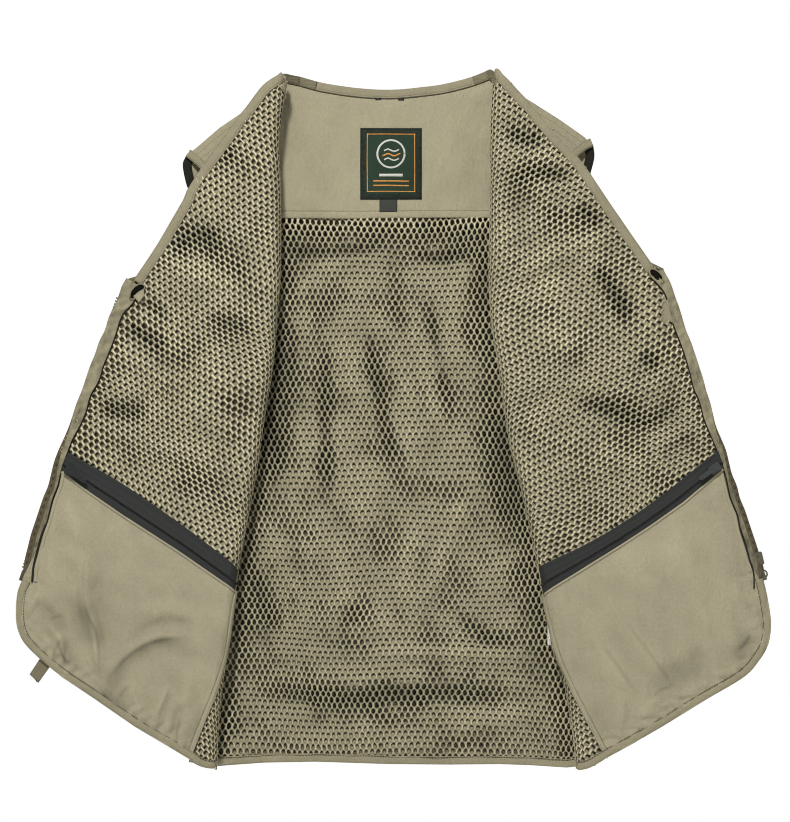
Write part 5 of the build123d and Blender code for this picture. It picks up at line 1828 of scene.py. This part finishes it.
def make_back_zip():
    tape = level(-5.0)
    add(strip("back_pocket_zip_tape", tape, level_line(155, BACK_ZIP_Y - 11.8),
              level_line(155, BACK_ZIP_Y + 11.8), KHAKI_TAPE, zip_profile(0.4, 0.5),
              step=1.6), "back_pocket_zip")
    for k, offset in enumerate((-0.6, 0.6)):
        add(stitches("back_pocket_coil_%d" % (k + 1), tape,
                     level_line(150, BACK_ZIP_Y + offset), COIL, pitch=1.3, length=1.2,
                     radius=0.65, lift=-1.35))
    for name, offset in (("top", -13.4), ("low", 13.4)):
        add(stitches("back_pocket_stitches_" + name, tape,
                     level_line(156, BACK_ZIP_Y + offset), THREAD, lift=0.35))


def make_rear_seams():
    seam = resample([(-196, 196), (-120, 206), (0, 210), (120, 206), (196, 196)], step=3)
    seam = spline(seam, 3)
    add(ribbon("back_yoke_seam", back_rear_folds, seam, 7.0, POPLIN, front=0.2, back=0.9,
               seed=75, wave=0.1, groove=0.97))
    for k, inset in enumerate((1.6, 5.6)):
        add(stitches("back_yoke_stitches_%d" % (k + 1), back_rear_folds,
                     offset_line(seam, inset), THREAD, lift=-0.85))
    for side in (-1, 1):
        line = spline([(side * x, y) for x, y in [
            (236, 440), (222, 482), (207, 520), (201, 560), (197, 640), (194, 750)]], 3)
        add(stitches("side_seam_stitches_" + SIDE_NAMES[side], back_rear_folds, line,
                     THREAD, lift=-0.2))
    add(stitches("back_pocket_rim_stitches", level(-10.3), resample(POCKET_SEAM, step=3),
                 THREAD, lift=-0.4))


def make_hanger_loop():
    """Loop of folded tape behind the neck."""
    half, top, bend = 11.5, 101.0, 122.0
    path = [(-half, top), (-half, bend)]
    path += [(-half * math.cos(t), bend + 9.2 * math.sin(t))
             for t in np.linspace(0, math.pi, 15)]
    path += [(half, bend), (half, top)]
    path = resample(path, step=1.6)
    add(ribbon("hanger_loop_tape", level(-6.2), path + path_normals(path) * 3.0, -6.0,
               BINDING, front=0.75, back=0.75, seed=71, wave=0.05, groove=0.97),
        "hanger_loop", carrier="hanger_loop")


def make_hem_loop():
    """Folded tab of webbing at the hem of the right front."""
    corners = [(-350.5, 656.0), (-340.5, 664.5), (-353.8, 683.0), (-362.6, 674.4)]
    webbing = level(37.6)
    add(cloth("hem_loop_tape", webbing, quad(corners, 12, 20), BACKING, front=1.3,
              back=-1.3, edge=0.45),
        "hem_loop_right", carrier="hem_loop_right")
    # painted shade: a dark strip along the tab's folded edge
    edge = resample(np.array(corners[1:3]) - np.array([1.4, 0.9]), step=1.5)
    add(ribbon("hem_loop_edge", webbing, edge, 1.4, HOLLOW_SHADE, front=1.0, back=1.0, seed=72,
               wave=0.05, groove=0.97), carrier="hem_loop_right")


make_back_pocket()
make_back_zip()
make_rear_seams()
make_hanger_loop()
make_hem_loop()


# ---------------------------------------------------------------------------
# CAD pieces that keep their own shape: metal and plastic fittings
# ---------------------------------------------------------------------------
def fitting_material(name):
    if "slider" in name or "pull" in name:
        if name.startswith("main"):
            return BRONZE
        return ENAMEL if name.startswith("inner") else GUNMETAL
    if "teeth" in name:
        return KHAKI_TAPE
    if "box" in name or "pin" in name:
        return BRONZE
    return GUNMETAL if "stud" in name else POPLIN


for name, fitting in NODES.items():
    if not fitting.hide_render:
        fitting.data.materials.clear()
        fitting.data.materials.append(fitting_material(name))

# ---------------------------------------------------------------------------
# floor, light, camera (metres)
# ---------------------------------------------------------------------------
FLOOR_Z = -0.80
LIGHT_TARGET = (0, 0, -0.3)
CAMERA_DISTANCE = 5.0
VIEW_WIDTH = 0.822                # width in view at the camera distance
SENSOR_MM = 36.0
scene = bpy.context.scene


def make_floor():
    mesh = bpy.data.meshes.new("floor")
    mesh.from_pydata([(-2.2, -2.6, FLOOR_Z), (2.2, -2.6, FLOOR_Z), (2.2, 0.9, FLOOR_Z),
                      (-2.2, 0.9, FLOOR_Z)], [], [(0, 1, 2, 3)])
    floor = bpy.data.objects.new("floor", mesh)
    scene.collection.objects.link(floor)
    mesh.materials.append(material("pale_floor", (238, 237, 234), rough=0.9, weave=0.0,
                                   mottle=0.01, sheen=0.0, spec=0.1))


def make_world():
    """White to the camera, faint as a light."""
    studio = bpy.data.worlds.new("studio")
    scene.world = studio
    studio.use_nodes = True
    tree = studio.node_tree
    background = tree.nodes["Background"]
    background.inputs["Color"].default_value = (1, 1, 1, 1)
    ray = tree.nodes.new("ShaderNodeLightPath").outputs["Is Camera Ray"]
    strength = shader_node(tree, "ShaderNodeMapRange", {"Value": ray}, To_Min=0.07,
                           To_Max=1.0)
    tree.links.new(strength.outputs["Result"], background.inputs["Strength"])


def make_light(name, place, size, power):
    light = bpy.data.lights.new(name, "AREA")
    light.shape = "DISK"
    light.size = size
    light.energy = power
    ob = bpy.data.objects.new(name, light)
    ob.location = place
    ob.rotation_mode = "QUATERNION"
    direction = Vector(LIGHT_TARGET) - Vector(place)
    ob.rotation_quaternion = direction.to_track_quat("-Z", "Y")
    scene.collection.objects.link(ob)


def make_camera():
    camera = bpy.data.cameras.new("camera")
    camera.lens = SENSOR_MM * CAMERA_DISTANCE / VIEW_WIDTH
    camera.sensor_width = SENSOR_MM
    camera.clip_start, camera.clip_end = 0.1, 60.0
    ob = bpy.data.objects.new("camera", camera)
    ob.location = (0.003, -CAMERA_DISTANCE - 0.040, -0.311)
    ob.rotation_euler = (math.pi / 2, 0, 0)
    scene.collection.objects.link(ob)
    scene.camera = ob


make_floor()
make_world()
make_light("key", (-0.55, -2.6, 2.0), size=0.42, power=117.0)
make_light("fill", (0.9, -3.6, 0.3), size=1.6, power=9.0)
make_light("rear", (0.8, 2.3, 1.5), size=1.0, power=95.0)
make_camera()
scene.view_settings.view_transform = "Standard"
scene.view_settings.look = "None"
scene.cycles.filter_width = 1.0
